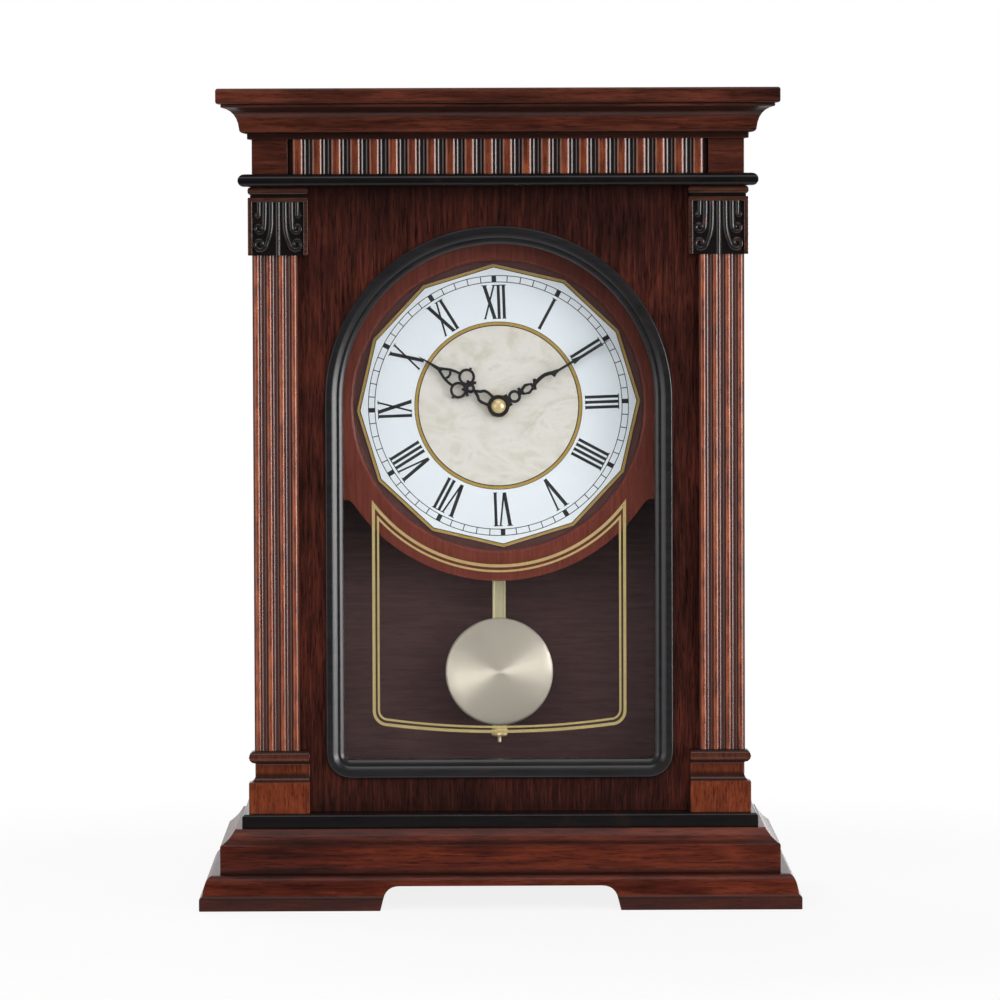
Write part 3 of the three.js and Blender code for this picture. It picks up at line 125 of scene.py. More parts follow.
class Finish(NodeTree):
    def __init__(self, name):
        self.material = bpy.data.materials.new(name)
        super().__init__(self.material)
        self.shader = self.nodes["Principled BSDF"]
        self.place = self.make("TexCoord").outputs["Object"]

    def set(self, **values):
        self.put(self.shader, **values)

    def mapped(self, scale=(1, 1, 1), move=(0, 0, 0), turn=(0, 0, 0)):
        node = self.make("Mapping")
        self.feed(node.inputs, self.place, move, turn, scale)
        return node.outputs["Vector"]

    def fromMiddle(self, height):  # distance from an axis along Y at this height in millimetres
        return self.length(self.mapped((1, 0, 1), (0, 0, -height * millimetre)))

    def noise(self, vector, scale, detail=4, rough=0.6, warp=0):
        node = self.make("TexNoise")
        self.put(node, Vector=vector, Scale=scale, Detail=detail, Roughness=rough, Distortion=warp)
        return node.outputs["Fac"]

    def ramp(self, factor, stops):
        node = self.make("ValToRGB")
        elements = node.color_ramp.elements
        elements[0].position, elements[0].color = stops[0]
        elements[1].position, elements[1].color = stops[-1]
        for position, tone in stops[1:-1]:
            elements.new(position).color = tone
        self.feed(node.inputs, factor)
        return node.outputs["Color"]

    def tones(self, factor, look, **places):  # tones of a look, each at its place on the ramp
        return self.ramp(factor, [(place, shade(*look[tone])) for tone, place in places.items()])

    def blend(self, factor, first, second, way="MIX"):
        node = self.make("Mix", data_type="RGBA", blend_type=way)
        self.feed([node.inputs[i] for i in (0, 6, 7)], factor, first, second)
        return node.outputs[2]

    def rough(self, factor, low, high):
        self.set(Roughness=self.span(factor, (0, 1), (low, high)))

    def bump(self, height, strength, distance):
        node = self.make("Bump")
        self.put(node, Height=height, Strength=strength, Distance=distance)
        self.set(Normal=node.outputs["Normal"])

    # Occlusion in hollows: the mask for the painted shade there
    def hollows(self, reach):
        node = self.make("AmbientOcclusion", samples=8, only_local=True)
        self.put(node, Distance=reach)
        return node.outputs["AO"]

    def lacquer(self, look):
        self.set(Coat_Weight=look["coat"], Coat_Roughness=look["coatRough"], Specular_IOR_Level=look["gloss"])


def lacqueredWood(name, look):
    finish = Finish(name)
    stretch = [1, 1, 1]
    stretch["XYZ".index(look["grain"])] = 1 / look["stretch"]
    along = finish.mapped(stretch)
    figure = finish.noise(finish.place, look["figure"], 3, 0.5, 0.4)
    streak = finish.noise(along, look["streak"], 7, 0.68, 0.3)
    pore = finish.noise(along, look["pore"], 3, 0.6)
    broad = finish.calc("MULTIPLY", figure, look["figureShare"])
    narrow = finish.calc("MULTIPLY", streak, 1 - look["figureShare"])
    wood = finish.tones(finish.calc("ADD", broad, narrow), look, dark=0.36, mid=0.5, light=0.66)
    pores = finish.ramp(pore, [(0.36, shade(*look["pores"])), (0.47, white)])
    wood = finish.blend(look["poreDepth"], wood, pores, "MULTIPLY")
    # Darker in creases and grooves by occlusion: partly dark glaze, partly painted shade
    hollowShade = finish.ramp(finish.hollows(look["glazeAndShadeReach"]), [(0.42, white), (0.9, black)])
    wood = finish.blend(hollowShade, wood, shade(*look["glazeAndShade"]))
    if "stainAndShade" in look:  # darker bands by depth or by height, painted shade in creases, recesses, flutes and under overhangs, partly dark glaze in hollows of mouldings: (millimetres, amount)
        first, last = look["stainAndShadeBands"][0][0], look["stainAndShadeBands"][-1][0]
        depth = finish.axis(finish.place, look["stainAndShadeAxis"])
        depth = finish.span(depth, (first * millimetre, last * millimetre))
        stops = [((at - first) / (last - first), (amount, amount, amount, 1)) for at, amount in look["stainAndShadeBands"]]
        wood = finish.blend(finish.ramp(depth, stops), wood, shade(*look["stainAndShade"]))
    finish.set(Base_Color=wood)
    finish.rough(streak, look["rough"] - 0.06, look["rough"] + 0.1)
    finish.bump(pore, look["grainBump"], 0.0002)
    finish.lacquer(look)
    return finish.material


cherryLook = {
    "grain": "X", "stretch": 14, "figure": 14, "figureShare": 0.35, "streak": 620, "pore": 1500,
    "dark": (54, 19, 11), "mid": (84, 32, 20), "light": (122, 52, 32), "pores": (90, 58, 50),
    # The hollow colour and its reach: partly dark glaze, partly painted shade
    "poreDepth": 0.55, "glazeAndShade": (18, 8, 7), "glazeAndShadeReach": 0.005, "stainAndShadeAxis": "Z",
    "rough": 0.36, "grainBump": 0.1, "coat": 0.2, "coatRough": 0.14, "gloss": 0.12,
}
panelLook = {
    **cherryLook, "grain": "Z", "figure": 20, "streak": 640, "poreDepth": 0.7,
    "dark": (34, 15, 12), "mid": (62, 29, 23), "light": (100, 47, 35),
    # darker towards the foot and the top: painted shadow above the plinth and under the astragal
    "stainAndShade": (22, 12, 11),
    "stainAndShadeBands": [(46, 0.5), (56, 0.1), (62, 0), (310, 0), (345, 0.25), (357.5, 0.5)],
}
plinthLook = {
    **cherryLook, "streak": 330, "dark": (46, 17, 11), "mid": (84, 33, 21), "light": (122, 54, 33),
    # darker at the foot and in the creases of the mouldings: painted shade
    "stainAndShade": (30, 14, 12),
    "stainAndShadeBands": [(0, 0.5), (5.4, 0.5), (6.3, 0.85), (7.4, 0.1), (9.0, 0), (15.8, 0), (17.4, 0.8),
              (18.6, 0.25), (20.2, 0), (30.6, 0), (32.4, 0.75), (33.8, 0.25), (36.0, 0.05), (38.6, 0.25)],
}
crownLook = {
    **cherryLook, "streak": 360, "coat": 0.45, "coatRough": 0.2,
    "dark": (46, 20, 14), "mid": (75, 35, 24), "light": (112, 55, 38),
    # painted shadow on the top of the frieze under the cornice, and painted shade in the creases of the
    # mouldings
    "stainAndShade": (26, 13, 11),
    "stainAndShadeBands": [(375.5, 0), (380.2, 0.45), (381.2, 0.3), (381.7, 0.8), (383.2, 0.8), (384.0, 0.1),
              (385.4, 0), (391.5, 0), (395.2, 0.75), (396.4, 0.75), (397.0, 0.15), (397.8, 0.15),
              (398.3, 0.8), (399.2, 0.25), (400.4, 0), (404.8, 0), (405.4, 0.4), (405.8, 0)],
}
reedLook = {
    **cherryLook, "grain": "Z", "figure": 90,
    "dark": (76, 30, 16), "mid": (118, 53, 27), "light": (154, 80, 43),
    "coat": 1.0, "coatRough": 0.18, "gloss": 0.2, "stainAndShadeAxis": "Y",
}
shaftLook = {
    **reedLook, "mid": (147, 71, 39), "light": (186, 103, 60),
    # flutes darker and greyer by depth: painted shade in the flutes
    "stainAndShade": (80, 46, 40), "stainAndShadeBands": [(-42.3, 0), (-41.5, 1)],
}
# flutes darker by depth: painted shade in the flutes
stripLook = {**reedLook, "stainAndShade": (30, 17, 15), "stainAndShadeBands": [(-42.3, 0), (-41.7, 1)]}
baseLook = {
    **cherryLook, "grain": "Z", "stretch": 8, "figure": 60, "coat": 0.6,
    "dark": (92, 40, 23), "mid": (121, 56, 32), "light": (148, 74, 43),
    # darker scotia, grooves and torus top: painted shade in the hollows of the moulding, partly dark glaze
    "stainAndShade": (34, 18, 16),
    "stainAndShadeBands": [(60.9, 0), (62.4, 0.9), (65.2, 0.85), (66.8, 0.3), (69.8, 0.4), (71.0, 0.92), (72.3, 0.6),
              (74.8, 0.55), (76.2, 0.95)],
}
capitalLook = {**cherryLook, "dark": (50, 28, 21), "mid": (72, 41, 30), "light": (97, 58, 43), "coat": 1.0}
maskLook = {
    **cherryLook, "grain": "Z", "dark": (90, 40, 30), "mid": (106, 50, 39), "light": (124, 62, 50),
    # the dial recess darker and greyer by depth: painted shade in the recess
    "poreDepth": 0.25, "stainAndShadeAxis": "Y", "stainAndShade": (84, 58, 56), "stainAndShadeBands": [(-9.6, 0), (-8.4, 0.9)],
}
doorLook = {
    **cherryLook, "streak": 420, "dark": (82, 61, 61), "mid": (94, 71, 71), "light": (104, 80, 80),
    "poreDepth": 0.2, "rough": 0.6, "coat": 0.0,
}

plinthAcross = lacqueredWood("plinthAcross", plinthLook)
plinthDeep = lacqueredWood("plinthDeep", {**plinthLook, "grain": "Y"})
cherryUpright = lacqueredWood("cherryUpright", {**cherryLook, "grain": "Z"})
crownAcross = lacqueredWood("crownAcross", crownLook)
crownDeep = lacqueredWood("crownDeep", {**crownLook, "grain": "Y"})
panelCherry = lacqueredWood("panelCherry", panelLook)
shaftCherry = lacqueredWood("shaftCherry", shaftLook)
stripCherry = lacqueredWood("stripCherry", stripLook)
baseCherry = lacqueredWood("baseCherry", baseLook)
capitalCherry = lacqueredWood("capitalCherry", capitalLook)
maskCherry = lacqueredWood("maskCherry", maskLook)
doorCherry = lacqueredWood("doorCherry", doorLook)


def ebonisedWood(name, look):
    finish = Finish(name)
    grain = finish.noise(finish.mapped(look["stretch"]), look["grain"], 6, 0.65)
    cloud = finish.noise(finish.place, look["cloud"], 4, 0.6)
    tone = finish.tones(grain, look, dark=0.35, light=0.7)
    rub = finish.ramp(cloud, [(0.56, black), (0.74, white)])
    tone = finish.blend(finish.calc("MULTIPLY", rub, look["rubbed"]), tone, shade(*look["brown"]))
    finish.set(Base_Color=tone)
    finish.rough(cloud, look["rough"] - 0.08, look["rough"] + 0.08)
    finish.bump(grain, 0.08, 0.0002)
    finish.lacquer(look)
    return finish.material


ebonyLook = {
    "stretch": (0.1, 1, 1), "grain": 240, "cloud": 60, "dark": (13, 11, 11), "light": (24, 20, 20),
    "brown": (48, 30, 24), "rubbed": 0.4, "rough": 0.34, "coat": 0.35, "coatRough": 0.14, "gloss": 0.2,
}
ebony = ebonisedWood("ebony", ebonyLook)
beadBlack = ebonisedWood("beadBlack", {
    **ebonyLook, "dark": (26, 25, 27), "light": (40, 38, 41), "coat": 0.85, "coatRough": 0.27,
})
carvedBlack = ebonisedWood("carvedBlack", {
    **ebonyLook, "stretch": (1, 1, 0.2), "cloud": 220, "light": (34, 26, 24), "brown": (92, 48, 33),
    "rubbed": 1.0, "coat": 1.0, "coatRough": 0.3, "gloss": 0.3,
})


def brushedMetal(name, look):
    finish = Finish(name)
    lines = finish.noise(finish.mapped(look["stretch"]), look["lines"], 4, 0.7)
    cloud = finish.noise(finish.place, look["cloud"], 3, 0.5)
    tone = finish.tones(lines, look, dark=0.3, light=0.7)
    tone = finish.blend(finish.calc("MULTIPLY", cloud, look["tarnished"]), tone, shade(*look["tarnish"]))
    finish.set(Base_Color=tone)
    finish.rough(cloud, look["rough"] - 0.08, look["rough"] + 0.1)
    finish.bump(lines, look["bump"], 0.00005)
    finish.set(Metallic=look["metal"])
    return finish.material


brassLook = {
    "stretch": (1, 1, 0.04), "lines": 2600, "cloud": 90, "dark": (196, 184, 142), "light": (222, 212, 174),
    "tarnish": (176, 158, 112), "tarnished": 0.3, "rough": 0.3, "bump": 0.25, "metal": 1.0,
}
lathedLook = {**brassLook, "stretch": (1, 1, 1), "lines": 500, "bump": 0.1}
printLook = {**brassLook, "stretch": (1, 1, 1), "lines": 900, "rough": 0.45, "bump": 0.05, "metal": 0.15}
rodBrass = brushedMetal("rodBrass", {
    **brassLook, "dark": (206, 196, 156), "light": (232, 224, 188), "metal": 0.55,
})
turnedBrass = brushedMetal("turnedBrass", {
    **lathedLook, "dark": (214, 184, 122), "light": (236, 211, 156), "rough": 0.36,
})
nutBrass = brushedMetal("nutBrass", {
    **lathedLook, "dark": (236, 208, 148), "light": (252, 234, 186), "tarnish": (224, 190, 124), "metal": 0.6,
})
turnedSteel = brushedMetal("turnedSteel", {
    **brassLook, "stretch": (1, 0.1, 1), "dark": (140, 143, 148), "light": (186, 189, 194),
    "tarnish": (110, 112, 116),
})
goldPrint = brushedMetal("goldPrint", {
    **printLook, "dark": (208, 192, 136), "light": (224, 210, 160), "tarnish": (190, 172, 116),
})
dialGilt = brushedMetal("dialGilt", {
    **printLook, "dark": (158, 128, 56), "light": (188, 158, 84), "tarnish": (140, 112, 50),
})


def plainFinish(name, **look):
    finish = Finish(name)
    fine = finish.noise(finish.place, look["fine"], 3, 0.6)
    cloud = finish.noise(finish.place, 40, 4, 0.55)
    finish.set(Base_Color=finish.tones(cloud, look, dark=0.3, light=0.7))
    finish.rough(fine, look["rough"] - 0.08, look["rough"] + 0.08)
    finish.bump(fine, look["bump"], 0.0001)
    return finish.material


handBlack = plainFinish("handBlack", fine=1800, dark=(14, 14, 15), light=(24, 24, 26), rough=0.42, bump=0.06)
dialInk = plainFinish("dialInk", fine=1500, dark=(15, 16, 18), light=(24, 25, 28), rough=0.6, bump=0.03)
casePlastic = plainFinish("casePlastic", fine=2400, dark=(24, 24, 26), light=(34, 34, 37),
                          rough=0.5, bump=0.25)
knobPlastic = plainFinish("knobPlastic", fine=2400, dark=(78, 81, 85), light=(98, 101, 106),
                          rough=0.48, bump=0.2)
cellJacket = plainFinish("cellJacket", fine=900, dark=(38, 74, 52), light=(54, 96, 70), rough=0.3, bump=0.03)
speakerCone = plainFinish("speakerCone", fine=1200, dark=(42, 42, 44), light=(66, 66, 70),
                          rough=0.7, bump=0.4)
print("finishes mixed")


# Making pieces: lengths are millimetres until a piece is finished

def vertsOf(geometry):
    return [item for item in geometry if isinstance(item, bmesh.types.BMVert)]


def edgesOf(geometry):
    return [item for item in geometry if isinstance(item, bmesh.types.BMEdge)]


def cornersOf(node):
    return [Vector(corner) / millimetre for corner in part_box(node)]


def finishPiece(name, bm, material, body, slot, nodes=(), sharp=35, flatFaces=True):
    bmesh.ops.scale(bm, vec=(millimetre,) * 3, verts=bm.verts)
    mesh = bpy.data.meshes.new(name)
    bm.to_mesh(mesh)
    bm.free()
    mesh.materials.append(material)
    mesh.shade_smooth()
    mesh.set_sharp_from_angle(angle=math.radians(sharp))
    piece = bpy.data.objects.new(name, mesh)
    scene.collection.objects.link(piece)
    if flatFaces:  # eased edges take the bend, broad faces stay flat
        piece.modifiers.new("flatFaces", "WEIGHTED_NORMAL").keep_sharp = True
    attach(piece, body)
    if nodes:
        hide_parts(*nodes)


def standIn(node, name, bm, material, **extra):  # on the node's own body
    finishPiece(name, bm, material, bodyOf[node], slotOf[node], [node], **extra)


def weld(bm, reach=0.002):
    bmesh.ops.remove_doubles(bm, verts=bm.verts, dist=reach)


def faceOut(bm):
    bmesh.ops.recalc_face_normals(bm, faces=bm.faces)


def easeEdges(bm, edges, width, segments=2):
    bmesh.ops.bevel(bm, geom=edges, offset=width, offset_type="OFFSET", segments=segments, profile=0.5,
                    affect="EDGES", material=-1)


def softenEdges(bm, width, angle=38):
    limit = math.radians(angle)
    easeEdges(bm, [edge for edge in bm.edges
                   if len(edge.link_faces) == 2 and edge.calc_face_angle(0) > limit], width)


def nodeCopy(node):
    bm = bmesh.new()
    bm.from_mesh(frame["nodes"][node].data)
    bmesh.ops.scale(bm, vec=(1 / millimetre,) * 3, verts=bm.verts)
    weld(bm)
    bmesh.ops.dissolve_limit(bm, angle_limit=math.radians(0.6), verts=bm.verts, edges=bm.edges)
    return bm


def dressNode(node, name, material, edge):
    bm = nodeCopy(node)
    softenEdges(bm, edge)
    standIn(node, name, bm, material)


def dressAll(work):  # node: name, finish and eased edge, where {} stands for left and right
    for node, (name, material, edge) in work.items():
        for side in ("left", "right") if "{}" in node else ("",):
            dressNode(node.format(side), name.format(side.title()), material, edge)


def traceOutline(bm, start, moves):  # a move is the next point, or a swing about a middle
    first = last = bm.verts.new(start)
    for move in moves:
        if isinstance(move, tuple):
            grown = bmesh.ops.extrude_vert_indiv(bm, verts=[last])
            last = grown["verts"][0]
            last.co = move
            continue
        before = set(bm.verts)
        swung = bmesh.ops.spin(bm, geom=[last], cent=move["about"], axis=move["axis"],
                               angle=math.radians(move["turn"]), steps=move["steps"])
        last = vertsOf(swung["geom_last"])[0]
        if "squash" in move:
            middle = Matrix.Translation(-Vector(move["about"]))
            fresh = [vert for vert in bm.verts if vert not in before]
            bmesh.ops.scale(bm, vec=move["squash"], space=middle, verts=fresh)
    if (last.co - first.co).length > 0.01:
        bm.edges.new((last, first))
    weld(bm)


def fillOutline(bm):
    return bmesh.ops.edgeloop_fill(bm, edges=bm.edges[:])["faces"][0]


def growFaces(bm, faces, vector):
    grown = bmesh.ops.extrude_face_region(bm, geom=faces)
    bmesh.ops.translate(bm, vec=vector, verts=vertsOf(grown["geom"]))


def pushFaces(bm, faces, vector):
    growFaces(bm, faces, vector)
    faceOut(bm)


def sinkFaces(bm, faces, vector):
    growFaces(bm, faces, vector)
    bmesh.ops.delete(bm, geom=[face for face in faces if face.is_valid], context="FACES_ONLY")
    weld(bm)


def pour(shape, bm):
    mesh = bpy.data.meshes.new("poured")
    shape.to_mesh(mesh)
    shape.free()
    bm.from_mesh(mesh)
    bpy.data.meshes.remove(mesh)


def pourRim(shape, face, width, vector, bm):  # the rim of a flat face, thickened
    bmesh.ops.inset_individual(shape, faces=[face], thickness=width, use_even_offset=True)
    bmesh.ops.delete(shape, geom=[face], context="FACES_ONLY")
    pushFaces(shape, shape.faces[:], vector)
    pour(shape, bm)


def turnedShape(profile, middle, steps, axis=(0, 1, 0)):
    bm = bmesh.new()
    points = [bm.verts.new(middle + Vector(point)) for point in profile]
    edges = [bm.edges.new(pair) for pair in zip(points, points[1:])]
    bmesh.ops.spin(bm, geom=points + edges, cent=middle, axis=axis, angle=math.tau, steps=steps,
                   use_merge=True)
    weld(bm)
    faceOut(bm)
    return bm


def turnedPiece(node, name, look, middle, material, **extra):  # profile: (radius, depth from the middle)
    profile = [(radius, depth, 0) for radius, depth in look["profile"]]
    standIn(node, name, turnedShape(profile, Vector(middle), look["around"]), material, **extra)


def boxMesh(x, y, z):
    bm = bmesh.new()
    size = Vector((x[1] - x[0], y[1] - y[0], z[1] - z[0]))
    middle = Vector((x[0] + x[1], y[0] + y[1], z[0] + z[1])) / 2
    bmesh.ops.create_cube(bm, size=1, matrix=Matrix.Translation(middle) @ Matrix.Diagonal(size).to_4x4())
    return bm


def cutAt(bm, place, normal, **keep):
    geometry = [*bm.verts, *bm.edges, *bm.faces]
    return bmesh.ops.bisect_plane(bm, geom=geometry, plane_co=place, plane_no=normal, **keep)


# Case joinery: the solids, with their edges eased

dressAll({
    "plinth_front_moulding": ("plinthFront", plinthAcross, 0.3),
    "{}_plinth_side_moulding": ("plinth{}", plinthDeep, 0.3),
    "plinth_rear_rail": ("plinthRearRail", doorCherry, 0.5),
    "plinth_board": ("plinthBoard", ebony, 0.3),
    "{}_side_panel": ("side{}", cherryUpright, 0.4),
    "front_panel": ("frontPanel", panelCherry, 0.2),
    "{}_glass_batten": ("batten{}", doorCherry, 0.3),
    "{}_pilaster_base": ("pilasterBase{}", baseCherry, 0.35),
    "astragal_front": ("astragalFront", ebony, 0.2),
    "{}_astragal_side": ("astragal{}", ebony, 0.2),
    "frieze_board": ("friezeBoard", crownAcross, 0.3),
    "cornice_front": ("corniceFront", crownAcross, 0.3),
    "{}_cornice_side": ("cornice{}", crownDeep, 0.3),
    "top_board": ("topBoard", crownAcross, 0.3),
    "rear_top_rail": ("rearTopRail", doorCherry, 0.5),
    "back_door": ("backDoor", doorCherry, 0.5),
})
print("case joinery dressed")


# Pilaster shafts and frieze strip: reeds with flutes between them

shaft = {"reeds": 4, "reed": 2.95, "flute": 3.2, "edge": 0.55, "edgeDepth": 0.0, "middle": 110.75,
         "face": -41.7, "rise": 1.2, "depth": 1.1, "back": -34.9, "low": 77.3, "high": 323.5, "steps": 12}
strip = {"reeds": 22, "reed": 5.25, "flute": 4.2, "edge": 2.1, "edgeDepth": 1.6, "middle": 0.0,
         "face": -41.7, "rise": 1.2, "depth": 1.6, "back": -37.9, "low": 363.8, "high": 381.0, "steps": 10}


def reededBoard(name, look, side, material, node):
    bm = bmesh.new()
    pitch = look["reed"] + look["flute"]
    half = (pitch * look["reeds"] - look["flute"]) / 2 + look["edge"]
    reedRadius = look["reed"] / 2
    fluteRadius = look["flute"] / 2
    face, low = look["face"], look["low"]
    edge = face + look["edgeDepth"]
    swing = {"axis": (0, 0, 1), "steps": look["steps"]}
    start = -half + look["edge"]
    moves = [(start, face, low)]
    for i in range(look["reeds"]):
        moves.append({**swing, "about": (start + reedRadius, face, low), "turn": 180,
                      "squash": (1, look["rise"] / reedRadius, 1)})
        if i < look["reeds"] - 1:
            moves.append({**swing, "about": (start + look["reed"] + fluteRadius, face, low), "turn": -180,
                          "squash": (1, look["depth"] / fluteRadius, 1)})
        start += pitch
    moves += [(half, edge, low), (half, look["back"], low), (-half, look["back"], low)]
    traceOutline(bm, (-half, edge, low), moves)
    pushFaces(bm, [fillOutline(bm)], (0, 0, look["high"] - low))
    bmesh.ops.translate(bm, vec=(side * look["middle"], 0, 0), verts=bm.verts)
    standIn(node, name, bm, material, sharp=50)


reededBoard("pilasterShaftLeft", shaft, -1, shaftCherry, "left_pilaster_shaft")
reededBoard("pilasterShaftRight", shaft, 1, shaftCherry, "right_pilaster_shaft")
reededBoard("friezeStrip", strip, 1, stripCherry, "reeded_strip")
print("shafts and frieze strip reeded")


# Carved capitals

capital = {"inner": 94.3, "outer": 124.1, "front": -45.0, "back": -34.9, "low": 323.5, "grooveLow": 352.2,
           "grooveHigh": 353.5, "high": 357.5, "border": 2.3, "recess": 2.0, "groove": 1.2, "edge": 0.5,
           "abacusRound": 1.7, "abacusSteps": 6, "field": 0.25, "fieldEdge": 0.1, "sunk": 0.2, "eyeSteps": 22}
capitalDepth = (capital["front"], capital["back"])
capitalFloor = capital["front"] + capital["recess"]
capitalTop = capital["grooveLow"] - capital["border"]


def capitalBlock(name, span, node):
    bm = boxMesh(span, capitalDepth, (capital["low"], capital["grooveLow"]))
    field = (span[0] + capital["border"], span[1] - capital["border"])
    cutAt(bm, (field[0], 0, 0), (1, 0, 0))
    cutAt(bm, (field[1], 0, 0), (1, 0, 0))
    cutAt(bm, (0, capitalFloor, 0), (0, 1, 0))
    cutAt(bm, (0, 0, capitalTop), (0, 0, 1))

    def within(face):
        at = face.calc_center_median()
        return field[0] < at.x < field[1] and at.y < capitalFloor - 0.01 and at.z < capitalTop

    sunk = [face for face in bm.faces if within(face) and face.normal.y < -0.5]
    sinkFaces(bm, sunk, (0, capital["recess"], 0))
    low = [face for face in bm.faces if abs(face.calc_center_median().z - capital["low"]) < 0.001]
    bmesh.ops.delete(bm, geom=[face for face in low if within(face)], context="FACES")
    faceOut(bm)
    softenEdges(bm, capital["edge"], 60)
    standIn(node, name, bm, capitalCherry)


def capitalAbacus(name, span, node):
    inset = capital["groove"]
    bm = boxMesh((span[0] + inset, span[1] - inset), (capital["front"] + inset, capital["back"]),
                 (capital["grooveLow"], capital["grooveHigh"]))
    standIn(node, name + "Groove", bm, ebony)
    bm = boxMesh(span, capitalDepth, (capital["grooveHigh"], capital["high"]))
    edges = [edge for edge in bm.edges
             if abs(edge.verts[0].co.z - edge.verts[1].co.z) < 0.01
             and min(vert.co.y for vert in edge.verts) < capital["back"] - 1]
    easeEdges(bm, edges, capital["abacusRound"], capital["abacusSteps"])
    standIn(node, name, bm, capitalCherry)


# Scrolls of the carving: (out from the middle, down from the top of the field, half width)
stems = [
    {"path": [(0, 0.0, 1.5), (0, 12, 1.5), (0, 26.5, 1.35)]},
    {"path": [(3.3, 0.0, 1.58), (3.3, 7, 1.58), (3.45, 13, 1.55), (4.3, 17.2, 1.5)],
     "eye": (9.1, 20.7), "turns": 1.2, "reach": (3.4, 1.0), "thick": (1.45, 1.0)},
    {"path": [(6.5, 0.0, 1.58), (6.5, 4.5, 1.58), (6.6, 9.2, 1.5)],
     "eye": (9.4, 12.9), "turns": 1.1, "reach": (2.6, 0.9), "thick": (1.35, 0.95)},
    {"path": [(9.4, 0.0, 1.35), (9.4, 2.4, 1.35), (9.45, 4.6, 1.25)],
     "eye": (10.4, 6.4), "turns": 0.9, "reach": (1.1, 0.5), "thick": (1.1, 0.8)},
]


def stemPoints(stem):  # down the stem, under the eye, and round into it
    points = list(stem["path"])
    if "eye" in stem:
        for i in range(capital["eyeSteps"] + 1):
            share = i / capital["eyeSteps"]
            angle = math.pi - math.tau * stem["turns"] * share
            reach, thick = (first + (last - first) * share for first, last in (stem["reach"], stem["thick"]))
            across = stem["eye"][0] + reach * math.cos(angle)
            points.append((across, stem["eye"][1] + reach * math.sin(angle), thick))
    return points


def pourStem(points, way, bm):
    curve = bpy.data.curves.new("stem", "CURVE")
    curve.dimensions = "3D"
    curve.bevel_depth = 1
    curve.bevel_resolution = 3
    curve.use_fill_caps = True
    spline = curve.splines.new("NURBS")
    spline.points.add(len(points) - 1)
    for point, (x, drop, thick) in zip(spline.points, points):
        point.co = (way * x, 0, -drop, 1)
        point.radius = thick
    spline.use_endpoint_u = True
    spline.order_u = 3
    spline.resolution_u = 4
    carrier = bpy.data.objects.new("stem", curve)
    bm.from_mesh(carrier.to_mesh())
    carrier.to_mesh_clear()
    bpy.data.objects.remove(carrier)
    bpy.data.curves.remove(curve)


def capitalCarving(name, middle, node):
    bm = bmesh.new()
    for stem in stems:
        for way in ((1, -1) if stem["path"][0][0] else (1,)):
            pourStem(stemPoints(stem), way, bm)
    bmesh.ops.translate(bm, vec=(middle, capitalFloor, capitalTop), verts=bm.verts)
    foot = (0, 0, capital["low"])
    rear = (0, capitalFloor + capital["sunk"], 0)
    for place, normal in ((foot, (0, 0, -1)), (rear, (0, 1, 0))):
        cut = cutAt(bm, place, normal, clear_outer=True)
        bmesh.ops.holes_fill(bm, edges=edgesOf(cut["geom_cut"]), sides=0)
    standIn(node, "capitalCarving" + name, bm, carvedBlack, sharp=60)
    spread = (capital["outer"] - capital["inner"]) / 2 - capital["border"]
    field = boxMesh((middle - spread, middle + spread), (capitalFloor - capital["field"], capitalFloor),
                    (capital["low"], capitalTop))
    softenEdges(field, capital["fieldEdge"])
    standIn(node, "capitalField" + name, field, ebony)


for name, side, node in (("Left", -1, "left_capital"), ("Right", 1, "right_capital")):
    span = sorted((side * capital["inner"], side * capital["outer"]))
    capitalBlock("capitalBlock" + name, span, node)
    capitalAbacus("capitalAbacus" + name, span, node)
    capitalCarving(name, side * (capital["inner"] + capital["outer"]) / 2, node)
print("capitals carved")


# Black bead swept round the arched opening
# Its profile, inwards from the outer edge: rounded edge, flat, bevel, step, second bevel

bead = {"half": 86.5, "corner": 12.4, "sill": 62.9, "spring": 251.3, "panel": -34.9, "front": -38.4,
        "back": -25.2, "edge": 0.9, "step": 0.9, "width": 8.9, "lip": 5.3, "edgeSteps": 6, "bevelSteps": 6,
        "archSteps": 72, "cornerSteps": 10,
        "bevels": [{"from": (2.9, 0.0), "radius": 9.2, "lean": (15, 35)},
                   {"from": (6.8, 2.1), "radius": 6.2, "lean": (18, 40)}]}


def bevelArc(bevel):  # a slightly crowned bevel that faces the opening
    inward, deep = bevel["from"]
    lean = math.radians(bevel["lean"][0])
    middle = (0, bead["front"] + deep + bevel["radius"] * math.cos(lean),
              bead["sill"] + inward - bevel["radius"] * math.sin(lean))
    return {"about": middle, "axis": (1, 0, 0), "turn": bevel["lean"][0] - bevel["lean"][1],
            "steps": bead["bevelSteps"]}


def sweepOn(bm, edges, vector):
    grown = bmesh.ops.extrude_edge_only(bm, edges=edges)
    bmesh.ops.translate(bm, vec=vector, verts=vertsOf(grown["geom"]))
    fresh = set(vertsOf(grown["geom"]))
    return [edge for edge in edgesOf(grown["geom"]) if edge.verts[0] in fresh and edge.verts[1] in fresh]


def swingOn(bm, edges, middle, turn, steps):
    points = list({vert for edge in edges for vert in edge.verts})
    swung = bmesh.ops.spin(bm, geom=points + edges, cent=middle, axis=(0, 1, 0), angle=math.radians(turn),
                           steps=steps)
    return edgesOf(swung["geom_last"])


